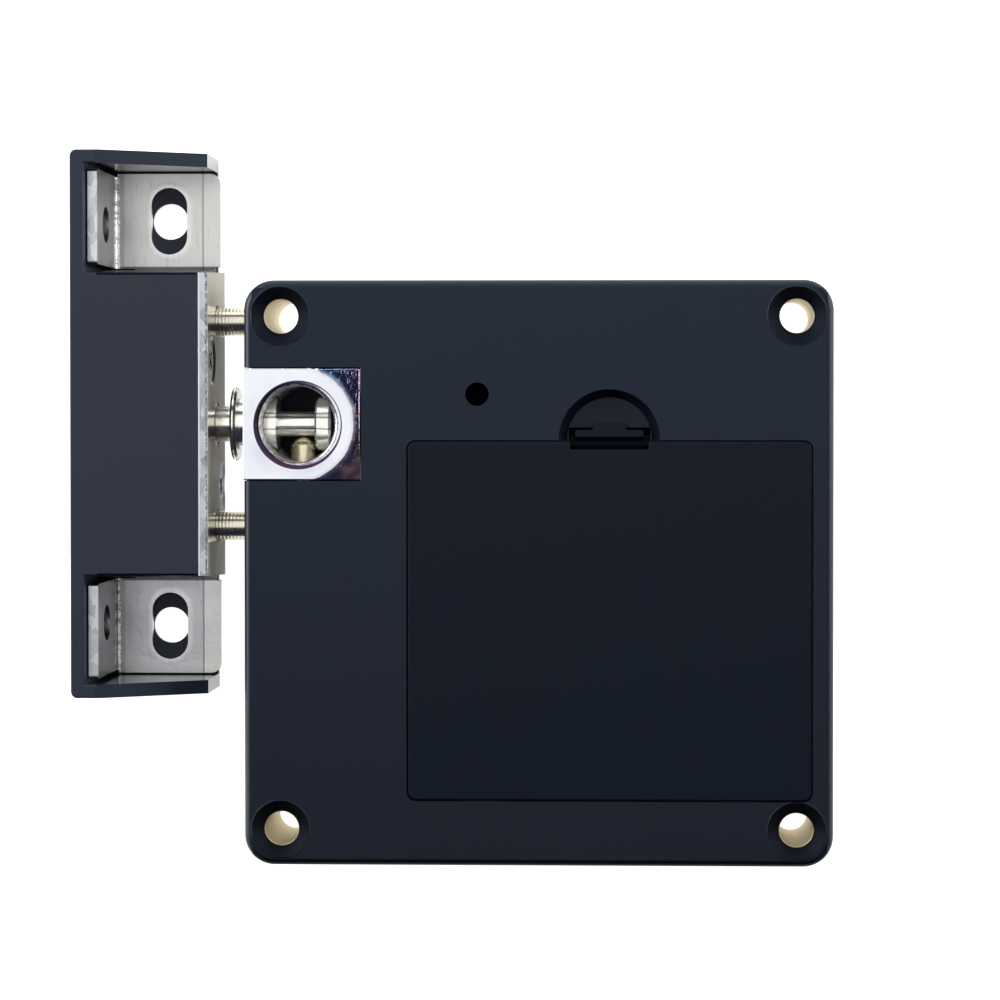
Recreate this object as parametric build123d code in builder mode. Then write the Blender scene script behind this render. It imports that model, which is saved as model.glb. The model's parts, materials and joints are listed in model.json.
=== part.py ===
from build123d import *

import os
from math import asin, atan2, cos, degrees, sin

# Hidden cabinet lock: a square battery case with a sprung plunger and a chromed latch block at its left
# edge, and a strike whose turned bolt stands in that block. The origin is the centre of the four case
# screws on the mounting face. +Z is towards the battery lid, +X away from the strike, all in millimetres.

# Fits
slip = 0.1
running_clearance = 0.08
free_gap = 0.3

# Cells and their contacts
cell_diameter = 14.5
cell_body_length = 48.8
cell_cap_diameter = 5.5
cell_cap_length = 1.2
cell_edge_radius = 0.8
cell_side_gap = 0.35
cell_headroom = 0.5
cell_count = 4
contact_room = 2.35
contact_thickness = 0.4
contact_width = 9.0
contact_height = 7.0
contact_corner_radius = 1.0
contact_dome_radius = 2.2
cell_spring_wire = 0.7
cell_spring_radius = 3.0
cell_spring_turns = 2.0

# Lock case
case_corner_radius = 4.6
case_edge_radius = 1.2
side_wall = 2.0
front_wall = 2.0
gate_mark_size = (0.6, 2.9, 1.6)
gate_mark_y = -0.65
gate_mark_z = 13.0

# Four screws that fix the case to the door
case_screw_inset_x = 5.6
case_screw_inset_y = 5.5
case_screw_hole = 5.2
case_countersink = 9.0
case_countersink_depth = 1.9
corner_post_radius = 5.1

# Back cover
cover_thickness = 1.8
cover_screw_spacing_x = 40.0
cover_screw_inset_y = 5.15
cover_post_radius = 2.6
cover_screw_radius = 1.1
cover_screw_length = 7.0
cover_screw_head_radius = 2.0
cover_screw_head_height = 1.1
driver_slot_length = 2.4
driver_slot_width = 0.5

# Battery lid and the bay under it
lid_thickness = 1.6
lid_side_room = 2.2
lid_corner_radius = 1.2
lid_gap = 0.25
lid_edge_radius = 0.2
lid_right_margin = 3.4
lid_low_margin = 10.2
lid_rib_width = 0.8
lid_rib_height = 1.0
lid_rib_margin = 7.0
bay_ledge = 1.0
bay_end_ledge = 0.5
bay_wall = 1.2
bay_floor_z = 4.4
bay_floor_thickness = 1.2
bay_rib_width = 1.2
bay_rib_height = 2.6
bay_rib_margin = 3.0

# Lid tongues that hook under the case's edge
tongue_offset = 20.0
tongue_width = 6.0
tongue_length = 1.5
tongue_thickness = 0.7
tongue_lip = 0.8
pocket_margin = 0.8
pocket_wall = 1.2

# Sprung latch tab of the lid and the finger recess beside it
tab_width = 10.4
tab_thickness = 1.0
tab_slot = 1.95
tab_notch_depth = 1.2
tab_leg_depth = 4.0
tab_drop = 0.4
tab_side_gap = 1.05
thumb_width = 5.3
thumb_reach = 1.1
thumb_thickness = 1.5
nose_height = 0.8
nose_drop = 0.3
nose_reach = 0.15
nose_inset = 1.0
recess_rim_radius = 7.75
recess_floor_radius = 6.5
recess_depth = 2.2
recess_pad_radius = 9.4
recess_pad_thickness = 1.3
latch_opening_reach = 1.9
latch_opening_depth = 2.0

# Latch block
latch_from_top = 22.05
latch_inset = 8.1
block_width = 18.1
block_length = 17.2
block_proud = 0.15
block_bottom_z = 2.5
block_edge_radius = 0.25
front_hole = 11.7
front_hole_lip = 0.7
side_hole = 9.0
side_hole_chamfer = 0.6
ear_reach = 5.2
ear_length = 15.0
ear_thickness = 3.0
ear_bottom_z = 4.2
ear_corner_radius = 2.0
ear_side_gap = 1.6
ear_screw_spacing = 9.6
ear_screw_inset = 2.5
ear_screw_hole = 2.6
ear_post_radius = 2.3

# Latch bolt, turned in one piece
strike_gap = 5.4
bolt_shaft = 5.7
bolt_flange = 11.7
bolt_flange_thickness = 0.9
bolt_flange_gap = 1.9
bolt_body = 8.2
bolt_body_length = 6.1
bolt_groove = 3.8
bolt_groove_length = 6.0
bolt_head = 8.3
bolt_head_length = 2.5
bolt_chamfer = 0.35
bolt_tail = 4.0
bolt_tail_length = 5.2
bolt_ring = 7.1
bolt_nut_width = 7.0
bolt_nut_thickness = 3.2

# Guide posts beside the bolt
post_spacing = 31.9
post_diameter = 4.4
post_tip_entry = 0.6
post_chamfer = 0.4
post_tail = 2.8
post_rivet = 4.4
post_rivet_height = 0.9
post_ring = 5.2
ring_depth = 0.25
socket_diameter = 5.1
socket_depth = 2.5
socket_floor = 0.5
socket_boss_radius = 3.4

# Locking plunger and its solenoid
pin_diameter = 4.0
pin_tip_gap = 0.1
pin_dome_height = 1.1
pin_step = 0.12
plunger_stroke = 3.0
core_diameter = 6.0
core_length = 25.0
collar_diameter = 8.0
collar_thickness = 1.0
collar_groove_depth = 0.5
plunger_spring_room = 10.0
plunger_spring_wire = 0.5
plunger_spring_radius = 3.6
plunger_spring_turns = 5.0
winding_thickness = 1.32
frame_length = 27.0
frame_thickness = 1.2
frame_side_room = 0.5
frame_rib_gap = 1.2
frame_pad_inset = 4.0
frame_pad_length = 2.4
frame_pad_margin = 1.0
bobbin_wall = 0.6
bobbin_flange = 0.8
pole_gap = 0.3

# Circuit board and what it carries
board_height = 13.6
board_gap = 1.8
board_side_gap = 1.2
board_z = 3.0
board_thickness = 1.6
board_corner_radius = 1.0
board_screw_inset_x = 3.0
board_screw_inset_y = 2.8
board_post_radius = 2.2
board_screw_radius = 0.9
board_screw_length = 6.0
board_screw_head_radius = 1.8
board_screw_head_height = 1.0
chip_size = 7.0
chip_thickness = 1.0
chip_bevel = 0.2
chip_offset_x = -4.0
buzzer_diameter = 10.0
buzzer_height = 7.0
buzzer_edge_radius = 0.5
buzzer_hole = 1.6
buzzer_offset_x = 10.0
plug_size = (8.0, 5.0, 5.5)
plug_wall = 0.9
plug_offset_x = 21.5
plug_offset_y = -3.0

# Reset button under the small hole in the front
button_inset_x = 35.8
button_offset_y = 4.6
button_hole = 3.6
button_recess = 4.5
button_collar_radius = 2.4
button_collar_thickness = 1.0
button_travel = 0.4
button_sleeve_wall = 1.0
switch_size = 6.2
switch_height = 3.5
switch_well = 1.6

# Antenna under the battery bay
antenna_width = 50.0
antenna_length = 42.0
antenna_corner_radius = 2.0
antenna_board_thickness = 0.8
antenna_track = 4.0
antenna_track_radius = 6.0
antenna_track_thickness = 0.3
antenna_margin = 1.5

# Strike cover
strike_width = 19.9
strike_length = 84.1
strike_height = 21.5
strike_corner_radius = 1.0
strike_edge_radius = 0.3
strike_back_wall = 1.0
strike_left_wall = 2.1
strike_end_wall = 2.1
strike_setback = 1.3
strike_slope_start = 3.8
strike_low_height = 12.5
block_cover_length = 46.4
block_cover_flare = 1.35
block_core_top = 2.2
block_core_rib = 2.0
block_core_gap = 2.7
strike_nub_size = (1.0, 1.2, 1.0)
strike_nub_offset_y = -32.5
strike_nub_z = 18.0

# Strike bracket, folded from one sheet
sheet = 1.5
bend_inside = 0.25
plate_height = 21.3
plate_widening = 0.8
ear_flange_height = 19.0
ear_flange_clearance = 0.25
ear_flange_corner = 0.5
ear_flange_end_inset = 0.45
bracket_end_clearance = 0.25
bracket_corner_radius = 1.6
bracket_tongue_reach = 14.4
relief_width = 0.9
relief_depth = 0.7
slot_width = 5.7
slot_length = 10.6
slot_inset_y = 9.85
slot_x_from_plate = 8.85
back_hole = 5.7
ear_hole = 5.6
ear_hole_inset_y = 10.95
ear_hole_z = 11.5

# Two countersunk screws through the strike plate
plate_screw_offset_y = 9.8
plate_screw_offset_z = 5.6
plate_screw_head = 6.6
plate_screw_sink = 0.25
plate_screw_shank = 3.0
plate_screw_length = 9.0
plate_screw_point = 1.0
plate_screw_recess = 0.75
plate_screw_recess_width = 0.8
plate_screw_recess_span = 3.6

# The lid covers the cells and what they press against; the case is built round it
cell_pitch = cell_diameter + cell_side_gap
lid_width = cell_count * cell_pitch + lid_side_room
lid_length = cell_body_length + 2 * (contact_room + contact_thickness + bay_end_ledge - lid_gap)
lid_left_margin = (block_width - block_proud + ear_reach + ear_side_gap
                   + bay_wall + lid_gap - bay_ledge)
lid_high_margin = (lid_gap - bay_end_ledge + bay_wall + board_gap + board_height + 2 * free_gap
                   + cover_post_radius + cover_screw_inset_y)
case_width = lid_left_margin + lid_width + lid_right_margin
case_length = lid_low_margin + lid_length + lid_high_margin
case_height = bay_floor_z + cell_diameter + cell_headroom + lid_thickness

# The solenoid is built round its core
core_bore = core_diameter / 2 + running_clearance
bobbin_inner_radius = core_bore + free_gap
winding_radius = bobbin_inner_radius + bobbin_wall + winding_thickness
frame_height = 2 * (winding_radius + free_gap + frame_thickness)
frame_width = 2 * (winding_radius + frame_side_room)

# Places that follow from the sizes
left_x = -case_width / 2
right_x = case_width / 2
low_y = -case_length / 2
high_y = case_length / 2
case_screw_spacing_x = case_width - 2 * case_screw_inset_x
case_screw_spacing_y = case_length - 2 * case_screw_inset_y
cover_screw_spacing_y = case_length - 2 * cover_screw_inset_y
front_inner_z = case_height - front_wall
cavity_width = case_width - 2 * side_wall
cavity_length = case_length - 2 * side_wall
cavity_corner_radius = case_corner_radius - side_wall
latch_x = left_x + latch_inset
latch_y = high_y - latch_from_top
latch_z = front_inner_z - frame_rib_gap - frame_height / 2
block_left_edge_x = left_x - block_proud
block_right_edge_x = block_left_edge_x + block_width
plate_x = left_x - strike_gap
lid_x = right_x - lid_right_margin - lid_width / 2
lid_y = low_y + lid_low_margin + lid_length / 2
lid_bottom_z = case_height - lid_thickness
lid_high_y = lid_y + lid_length / 2
lid_low_y = lid_y - lid_length / 2
seat_width = lid_width + 2 * lid_gap
seat_length = lid_length + 2 * lid_gap
seat_high_y = lid_y + seat_length / 2
seat_low_y = lid_y - seat_length / 2
bay_width = seat_width - 2 * bay_ledge
bay_length = seat_length - 2 * bay_end_ledge
bay_high_y = lid_y + bay_length / 2
bay_low_y = lid_y - bay_length / 2
hinge_z = case_height - lid_edge_radius
tab_x = lid_x
bolt_axis = Axis((0, latch_y, latch_z), (1, 0, 0))
pin_axis = Axis((latch_x, 0, latch_z), (0, 1, 0))

os.makedirs("parts", exist_ok=True)


def stepped(start, stations):
    """Half outline of a turned piece, from (end, radius) pairs along its axis."""
    points = [(start, 0)]
    at = start
    for end, radius in stations:
        points += [(at, radius), (end, radius)]
        at = end
    return points + [(at, 0)]


def cap_middle(radius, height):
    """Middle of a round cap's profile, from its axis and from its foot."""
    ball = (radius ** 2 + height ** 2) / (2 * height)
    half = asin(radius / ball) / 2
    return ball * sin(half), height - ball * (1 - cos(half))


def keep(piece, name):
    """Label a finished piece and write it out."""
    piece.part.label = name
    export_step(piece.part, f"parts/{name}.step")


# Lock case

cone_angle = 2 * degrees(atan2((case_countersink - case_screw_hole) / 2, case_countersink_depth))
ear_screw_x = block_right_edge_x + ear_screw_inset
tab_outer_y = lid_high_y - tab_notch_depth + tab_slot + tab_thickness
opening_high_y = seat_high_y + latch_opening_reach
opening_length = latch_opening_reach + bay_end_ledge + bay_wall
opening_width = tab_width + 2 * tab_side_gap
pocket_reach = tongue_length + lid_gap + pocket_margin
pocket_low_z = hinge_z - tongue_length - tongue_thickness - pocket_margin / 2
sleeve_radius = button_hole / 2 + button_sleeve_wall
board_top_z = board_z + board_thickness
switch_top_z = board_top_z + switch_height
collar_top_z = switch_top_z + button_travel + slip + button_collar_thickness
sleeve_bottom_z = collar_top_z + free_gap
collar_top_y = latch_y - block_length / 2 - slip
collar_bottom_y = collar_top_y - collar_thickness
frame_top_y = collar_bottom_y - plunger_spring_room
frame_low_y = frame_top_y - frame_length
frame_mid_y = frame_top_y - frame_length / 2
frame_right_x = latch_x + frame_width / 2
frame_top_z = latch_z + frame_height / 2
board_left_x = block_right_edge_x + ear_reach + free_gap
board_right_x = case_screw_spacing_x / 2 - corner_post_radius - board_side_gap
board_low_y = bay_high_y + bay_wall + board_gap
board_high_y = board_low_y + board_height
board_mid_x = (board_left_x + board_right_x) / 2
board_mid_y = (board_low_y + board_high_y) / 2
board_screw_y = board_high_y - board_screw_inset_y
board_post_xs = (board_left_x + board_screw_inset_x, board_right_x - board_screw_inset_x)
button_x = left_x + button_inset_x
button_y = latch_y + button_offset_y

with BuildPart() as case_shell:
    with BuildSketch():
        RectangleRounded(case_width, case_length, case_corner_radius)
    extrude(amount=case_height)
    fillet(case_shell.faces().sort_by(Axis.Z)[-1].edges(), case_edge_radius)
    with Locations((right_x, gate_mark_y, gate_mark_z)):
        Box(*gate_mark_size)
    with BuildSketch():
        RectangleRounded(cavity_width, cavity_length, cavity_corner_radius)
    extrude(amount=front_inner_z, mode=Mode.SUBTRACT)
    # Posts that the back cover seats on
    with BuildSketch(Plane.XY.offset(cover_thickness)):
        with GridLocations(case_screw_spacing_x, case_screw_spacing_y, 2, 2):
            Circle(corner_post_radius)
        with GridLocations(cover_screw_spacing_x, cover_screw_spacing_y, 2, 2):
            Circle(cover_post_radius)
    extrude(amount=front_inner_z - cover_thickness)
    # Posts for the screws of the latch block and of the circuit board
    with BuildSketch(Plane.XY.offset(ear_bottom_z + ear_thickness)):
        with Locations((ear_screw_x, latch_y)):
            with GridLocations(1, ear_screw_spacing, 1, 2):
                Circle(ear_post_radius)
    extrude(amount=front_inner_z - ear_bottom_z - ear_thickness)
    with BuildSketch(Plane.XY.offset(board_top_z)):
        with Locations(*[(x, board_screw_y) for x in board_post_xs]):
            Circle(board_post_radius)
    extrude(amount=front_inner_z - board_top_z)
    # Battery tub and the pad behind the finger recess
    with BuildSketch(Plane.XY.offset(bay_floor_z - bay_floor_thickness)):
        with Locations((lid_x, lid_y)):
            Rectangle(bay_width + 2 * bay_wall, bay_length + 2 * bay_wall)
    extrude(amount=front_inner_z - bay_floor_z + bay_floor_thickness)
    with BuildSketch(Plane.XY.offset(case_height - recess_depth - recess_pad_thickness)):
        with Locations((tab_x, seat_high_y)):
            Circle(recess_pad_radius)
            Rectangle(2 * recess_pad_radius, 2 * recess_pad_radius, mode=Mode.SUBTRACT,
                      align=(Align.CENTER, Align.MAX))
    extrude(amount=recess_depth + recess_pad_thickness - front_wall)
    # Blocks behind the lid's two tongues
    with BuildSketch(Plane.XY.offset(pocket_low_z - pocket_wall)):
        with Locations((lid_x, seat_low_y - (pocket_reach + pocket_wall) / 2)):
            with GridLocations(2 * tongue_offset, 1, 2, 1):
                Rectangle(tongue_width + 2 * free_gap + 2 * pocket_wall, pocket_reach + pocket_wall)
    extrude(amount=front_inner_z - pocket_low_z + pocket_wall)
    # Socket bosses for the guide posts, and the reset button's sleeve
    with BuildSketch(Plane.YZ.offset(left_x + side_wall)):
        with Locations((latch_y, latch_z)):
            with GridLocations(post_spacing, 1, 2, 1):
                Circle(socket_boss_radius)
    extrude(amount=socket_depth + socket_floor - side_wall)
    with BuildSketch(Plane.XY.offset(sleeve_bottom_z)):
        with Locations((button_x, button_y)):
            Circle(sleeve_radius)
    extrude(amount=front_inner_z - sleeve_bottom_z)
    # Ribs that hold the solenoid
    with BuildSketch(Plane.XY.offset(frame_top_z)):
        with Locations((latch_x, frame_mid_y)):
            with GridLocations(1, frame_length - 2 * frame_pad_inset, 1, 2):
                Rectangle(frame_width - 2 * frame_pad_margin, frame_pad_length)
    extrude(amount=front_inner_z - frame_top_z)
    with BuildSketch(Plane.XY.offset(bay_floor_z)):
        with Locations((frame_right_x + slip + bay_wall / 2, frame_mid_y)):
            Rectangle(bay_wall, frame_length - frame_pad_inset)
    extrude(amount=front_inner_z - bay_floor_z)
    # Battery bay, lid seat, and the opening for the latch tab
    with BuildSketch(Plane.XY.offset(bay_floor_z)):
        with Locations((lid_x, lid_y)):
            Rectangle(bay_width, bay_length)
    extrude(amount=case_height - bay_floor_z, mode=Mode.SUBTRACT)
    with BuildSketch(Plane.XY.offset(lid_bottom_z)):
        with Locations((lid_x, lid_y)):
            RectangleRounded(seat_width, seat_length, lid_corner_radius + lid_gap)
    extrude(amount=lid_thickness, mode=Mode.SUBTRACT)
    with BuildSketch(Plane.XY.offset(bay_floor_z)):
        with Locations((lid_x, lid_y)):
            with GridLocations(cell_pitch, 1, cell_count - 1, 1):
                Rectangle(bay_rib_width, bay_length - 2 * bay_rib_margin)
    extrude(amount=bay_rib_height)
    with Locations((tab_x, seat_high_y, case_height - recess_depth / 2)):
        Cone(recess_floor_radius, recess_rim_radius, recess_depth, mode=Mode.SUBTRACT)
    with BuildSketch(Plane.XY.offset(case_height)):
        with Locations((tab_x, opening_high_y)):
            Rectangle(opening_width, opening_length, align=(Align.CENTER, Align.MAX))
    extrude(amount=-(lid_thickness + tab_leg_depth + latch_opening_depth), mode=Mode.SUBTRACT)
    with BuildSketch(Plane.XY.offset(pocket_low_z)):
        with Locations((lid_x, bay_low_y - (pocket_reach + bay_end_ledge) / 2)):
            with GridLocations(2 * tongue_offset, 1, 2, 1):
                Rectangle(tongue_width + 2 * free_gap, pocket_reach + bay_end_ledge)
    extrude(amount=case_height - tongue_lip - pocket_low_z, mode=Mode.SUBTRACT)
    # Seat of the latch block, open to the left and to the front
    with BuildSketch(Plane.XY.offset(block_bottom_z - slip)):
        with Locations((block_left_edge_x, latch_y)):
            Rectangle(block_width + slip, block_length + 2 * slip, align=(Align.MIN, Align.CENTER))
    extrude(amount=case_height - block_bottom_z + slip, mode=Mode.SUBTRACT)
    # Sockets for the guide posts
    with BuildSketch(Plane.YZ.offset(left_x)):
        with Locations((latch_y, latch_z)):
            with GridLocations(post_spacing, 1, 2, 1):
                Circle(socket_diameter / 2)
    extrude(amount=socket_depth, mode=Mode.SUBTRACT)
    # Screw holes
    with Locations((0, 0, case_height)):
        with GridLocations(case_screw_spacing_x, case_screw_spacing_y, 2, 2):
            CounterSinkHole(case_screw_hole / 2, case_countersink / 2, counter_sink_angle=cone_angle)
    with BuildSketch():
        with Locations((button_x, button_y)):
            Circle(button_hole / 2)
    extrude(amount=case_height, mode=Mode.SUBTRACT)
    with BuildSketch(Plane.XY.offset(cover_thickness)):
        with GridLocations(cover_screw_spacing_x, cover_screw_spacing_y, 2, 2):
            Circle(cover_screw_radius)
    extrude(amount=cover_screw_length, mode=Mode.SUBTRACT)
    with BuildSketch(Plane.XY.offset(ear_bottom_z + ear_thickness)):
        with Locations((ear_screw_x, latch_y)):
            with GridLocations(1, ear_screw_spacing, 1, 2):
                Circle(cover_screw_radius)
    extrude(amount=cover_screw_length, mode=Mode.SUBTRACT)
    with BuildSketch(Plane.XY.offset(board_top_z)):
        with Locations(*[(x, board_screw_y) for x in board_post_xs]):
            Circle(board_screw_radius)
    extrude(amount=board_screw_length, mode=Mode.SUBTRACT)
keep(case_shell, "case_shell")

# Back cover

frame_bottom_z = latch_z - frame_height / 2

with BuildPart() as back_cover:
    with BuildSketch():
        RectangleRounded(cavity_width - 2 * slip, cavity_length - 2 * slip, cavity_corner_radius - slip)
    extrude(amount=cover_thickness)
    # Pads that press the solenoid against its ribs
    with BuildSketch(Plane.XY.offset(cover_thickness)):
        with Locations((latch_x, frame_mid_y)):
            with GridLocations(1, frame_length - 2 * frame_pad_inset, 1, 2):
                Rectangle(frame_width - 2 * frame_pad_margin, frame_pad_length)
    extrude(amount=frame_bottom_z - cover_thickness)
    with GridLocations(case_screw_spacing_x, case_screw_spacing_y, 2, 2):
        Hole(case_screw_hole / 2)
    with BuildSketch():
        with GridLocations(cover_screw_spacing_x, cover_screw_spacing_y, 2, 2):
            Circle(cover_screw_radius + slip)
    extrude(amount=cover_thickness, mode=Mode.SUBTRACT)
    with BuildSketch():
        with GridLocations(cover_screw_spacing_x, cover_screw_spacing_y, 2, 2):
            Circle(cover_screw_head_radius + slip)
    extrude(amount=cover_screw_head_height + slip, mode=Mode.SUBTRACT)
keep(back_cover, "back_cover")

with BuildPart() as cover_screws:
    with BuildSketch(Plane.XY.offset(slip)):
        with GridLocations(cover_screw_spacing_x, cover_screw_spacing_y, 2, 2):
            Circle(cover_screw_head_radius)
            Rectangle(driver_slot_length, driver_slot_width, mode=Mode.SUBTRACT)
            Rectangle(driver_slot_width, driver_slot_length, mode=Mode.SUBTRACT)
    extrude(amount=cover_screw_head_height / 2)
    with BuildSketch(Plane.XY.offset(slip + cover_screw_head_height / 2)):
        with GridLocations(cover_screw_spacing_x, cover_screw_spacing_y, 2, 2):
            Circle(cover_screw_head_radius)
    extrude(amount=cover_screw_head_height / 2)
    with BuildSketch(Plane.XY.offset(slip + cover_screw_head_height)):
        with GridLocations(cover_screw_spacing_x, cover_screw_spacing_y, 2, 2):
            Circle(cover_screw_radius)
    extrude(amount=cover_screw_length - cover_screw_head_height)
keep(cover_screws, "cover_screws")

# Latch block

with BuildPart() as latch_block:
    with BuildSketch(Plane.XY.offset(block_bottom_z)):
        with Locations((block_left_edge_x, latch_y)):
            Rectangle(block_width, block_length, align=(Align.MIN, Align.CENTER))
    extrude(amount=case_height - block_bottom_z)
    fillet(latch_block.faces().sort_by(Axis.Z)[-1].edges(), block_edge_radius)
    with BuildSketch(Plane.XY.offset(ear_bottom_z)):
        with Locations((block_right_edge_x, latch_y)):
            Rectangle(ear_reach, ear_length, align=(Align.MIN, Align.CENTER))
    extrude(amount=ear_thickness)
    fillet(latch_block.edges().filter_by(Axis.Z).sort_by(Axis.X)[-2:], ear_corner_radius)
    with Locations((ear_screw_x, latch_y, ear_bottom_z + ear_thickness)):
        with GridLocations(1, ear_screw_spacing, 1, 2):
            Hole(ear_screw_hole / 2, depth=ear_thickness)
    # Front opening, right through, with its rounded lip
    with BuildSketch(Plane.XY.offset(block_bottom_z)):
        with Locations((latch_x, latch_y)):
            Circle(front_hole / 2)
    extrude(amount=case_height - block_bottom_z, mode=Mode.SUBTRACT)
    lip = latch_block.edges().filter_by(GeomType.CIRCLE).group_by(Axis.Z)[-1]
    fillet(lip, front_hole_lip)
    # Side opening that the bolt enters, and the bore of the locking pin
    with BuildSketch(Plane.YZ.offset(block_left_edge_x)):
        with Locations((latch_y, latch_z)):
            Circle(side_hole / 2)
    extrude(amount=block_proud + latch_inset + front_hole / 2 + bolt_flange_gap / 2, mode=Mode.SUBTRACT)
    mouth = latch_block.edges().filter_by(GeomType.CIRCLE).group_by(Axis.X)[0]
    chamfer(mouth, side_hole_chamfer)
    with BuildSketch(Plane.XZ.offset(-(latch_y - block_length / 2))):
        with Locations((latch_x, latch_z)):
            Circle(pin_diameter / 2 + running_clearance)
    extrude(amount=-block_length / 2, mode=Mode.SUBTRACT)
keep(latch_block, "latch_block")

with BuildPart() as block_screws:
    with BuildSketch(Plane.XY.offset(ear_bottom_z - cover_screw_head_height)):
        with Locations((ear_screw_x, latch_y)):
            with GridLocations(1, ear_screw_spacing, 1, 2):
                Circle(cover_screw_head_radius)
                Rectangle(driver_slot_length, driver_slot_width, mode=Mode.SUBTRACT)
    extrude(amount=cover_screw_head_height / 2)
    with BuildSketch(Plane.XY.offset(ear_bottom_z - cover_screw_head_height / 2)):
        with Locations((ear_screw_x, latch_y)):
            with GridLocations(1, ear_screw_spacing, 1, 2):
                Circle(cover_screw_head_radius)
    extrude(amount=cover_screw_head_height / 2)
    with BuildSketch(Plane.XY.offset(ear_bottom_z)):
        with Locations((ear_screw_x, latch_y)):
            with GridLocations(1, ear_screw_spacing, 1, 2):
                Circle(cover_screw_radius)
    extrude(amount=ear_thickness + cover_screw_length - slip)
keep(block_screws, "block_screws")

# Battery lid

tab_leg_y = lid_high_y - tab_notch_depth
tab_turn_z = lid_bottom_z - tab_leg_depth + tab_slot / 2 + tab_thickness
tab_turn_y = tab_leg_y + tab_slot / 2
tab_top_z = case_height - tab_drop
nose_top_z = case_height - recess_depth - recess_pad_thickness - nose_drop

with BuildPart() as battery_lid:
    with BuildSketch(Plane.XY.offset(lid_bottom_z)):
        with Locations((lid_x, lid_y)):
            RectangleRounded(lid_width, lid_length, lid_corner_radius)
        with Locations((tab_x, lid_high_y)):
            Rectangle(opening_width - 2 * lid_gap, tab_notch_depth, mode=Mode.SUBTRACT,
                      align=(Align.CENTER, Align.MAX))
    extrude(amount=lid_thickness)
    fillet(battery_lid.faces().sort_by(Axis.Z)[-1].edges(), lid_edge_radius)
    # Latch tab: a strip that turns down, under and up again
    with BuildSketch(Plane.YZ.offset(tab_x - tab_width / 2)):
        with BuildLine():
            Polyline((tab_leg_y, tab_turn_z), (tab_leg_y, lid_bottom_z + lid_thickness / 2),
                     (tab_leg_y - tab_thickness, lid_bottom_z + lid_thickness / 2),
                     (tab_leg_y - tab_thickness, tab_turn_z))
            ThreePointArc((tab_leg_y - tab_thickness, tab_turn_z),
                          (tab_turn_y, tab_turn_z - tab_slot / 2 - tab_thickness),
                          (tab_outer_y, tab_turn_z))
            Polyline((tab_outer_y, tab_turn_z), (tab_outer_y, tab_top_z),
                     (tab_outer_y - tab_thickness, tab_top_z), (tab_outer_y - tab_thickness, tab_turn_z))
            ThreePointArc((tab_outer_y - tab_thickness, tab_turn_z),
                          (tab_turn_y, tab_turn_z - tab_slot / 2), (tab_leg_y, tab_turn_z))
        make_face()
    extrude(amount=tab_width)
    # Catch nose along the tab, and the thumb tongue on its top
    with BuildSketch(Plane.YZ.offset(tab_x - tab_width / 2 + nose_inset)):
        with BuildLine():
            Polyline((tab_outer_y - tab_thickness / 3, nose_top_z - nose_height),
                     (tab_outer_y, nose_top_z - nose_height),
                     (tab_outer_y + nose_reach, nose_top_z - nose_height / 4),
                     (tab_outer_y + nose_reach, nose_top_z),
                     (tab_outer_y - tab_thickness / 3, nose_top_z), close=True)
        make_face()
    extrude(amount=tab_width - 2 * nose_inset)
    with BuildSketch(Plane.XY.offset(tab_top_z - thumb_thickness)):
        with Locations((tab_x, tab_outer_y)):
            Trapezoid(thumb_width, thumb_reach, 65, align=(Align.CENTER, Align.MIN))
    extrude(amount=thumb_thickness)
    # Tongues along the lower edge
    with BuildSketch(Plane.XY.offset(lid_bottom_z)):
        with Locations((lid_x, lid_low_y + tongue_thickness)):
            with GridLocations(2 * tongue_offset, 1, 2, 1):
                Rectangle(tongue_width, tongue_length + tongue_thickness, align=(Align.CENTER, Align.MAX))
    extrude(amount=tongue_thickness)
    # Stiffening ribs under the lid, between the cells
    with BuildSketch(Plane.XY.offset(lid_bottom_z)):
        with Locations((lid_x, lid_y)):
            with GridLocations(cell_pitch, 1, cell_count - 1, 1):
                Rectangle(lid_rib_width, lid_length - 2 * lid_rib_margin)
    extrude(amount=-lid_rib_height)
keep(battery_lid, "battery_lid")

# Cells, each against a domed contact at one end and a coil spring at the other

cell_z = bay_floor_z + cell_diameter / 2
cell_top_y = lid_y + cell_body_length / 2
cell_bottom_y = lid_y - cell_body_length / 2
cell_xs = [lid_x + cell_pitch * (i - (cell_count - 1) / 2) for i in range(cell_count)]
contact_dome_height = contact_room - cell_cap_length - slip

for i, x in enumerate(cell_xs):
    with BuildPart() as cell:
        with BuildSketch(Plane.XZ.offset(-cell_top_y)):
            with Locations((x, cell_z)):
                Circle(cell_diameter / 2)
        extrude(amount=cell_body_length)
        fillet(cell.edges().filter_by(GeomType.CIRCLE), cell_edge_radius)
        cap_y = cell_top_y + cell_cap_length if i % 2 == 0 else cell_bottom_y
        with BuildSketch(Plane.XZ.offset(-cap_y)):
            with Locations((x, cell_z)):
                Circle(cell_cap_diameter / 2)
        extrude(amount=cell_cap_length)
    keep(cell, f"cell_{i + 1}")

# Contact plates: two joined pairs at the top, one joined pair between two singles at the bottom

top_face_y = bay_high_y - contact_thickness
bottom_face_y = bay_low_y + contact_thickness
dome_middle_x, dome_middle_y = cap_middle(contact_dome_radius, contact_dome_height)
plate_spans = (("top", (0, 1)), ("top", (2, 3)), ("bottom", (0, 0)), ("bottom", (1, 2)), ("bottom", (3, 3)))

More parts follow.
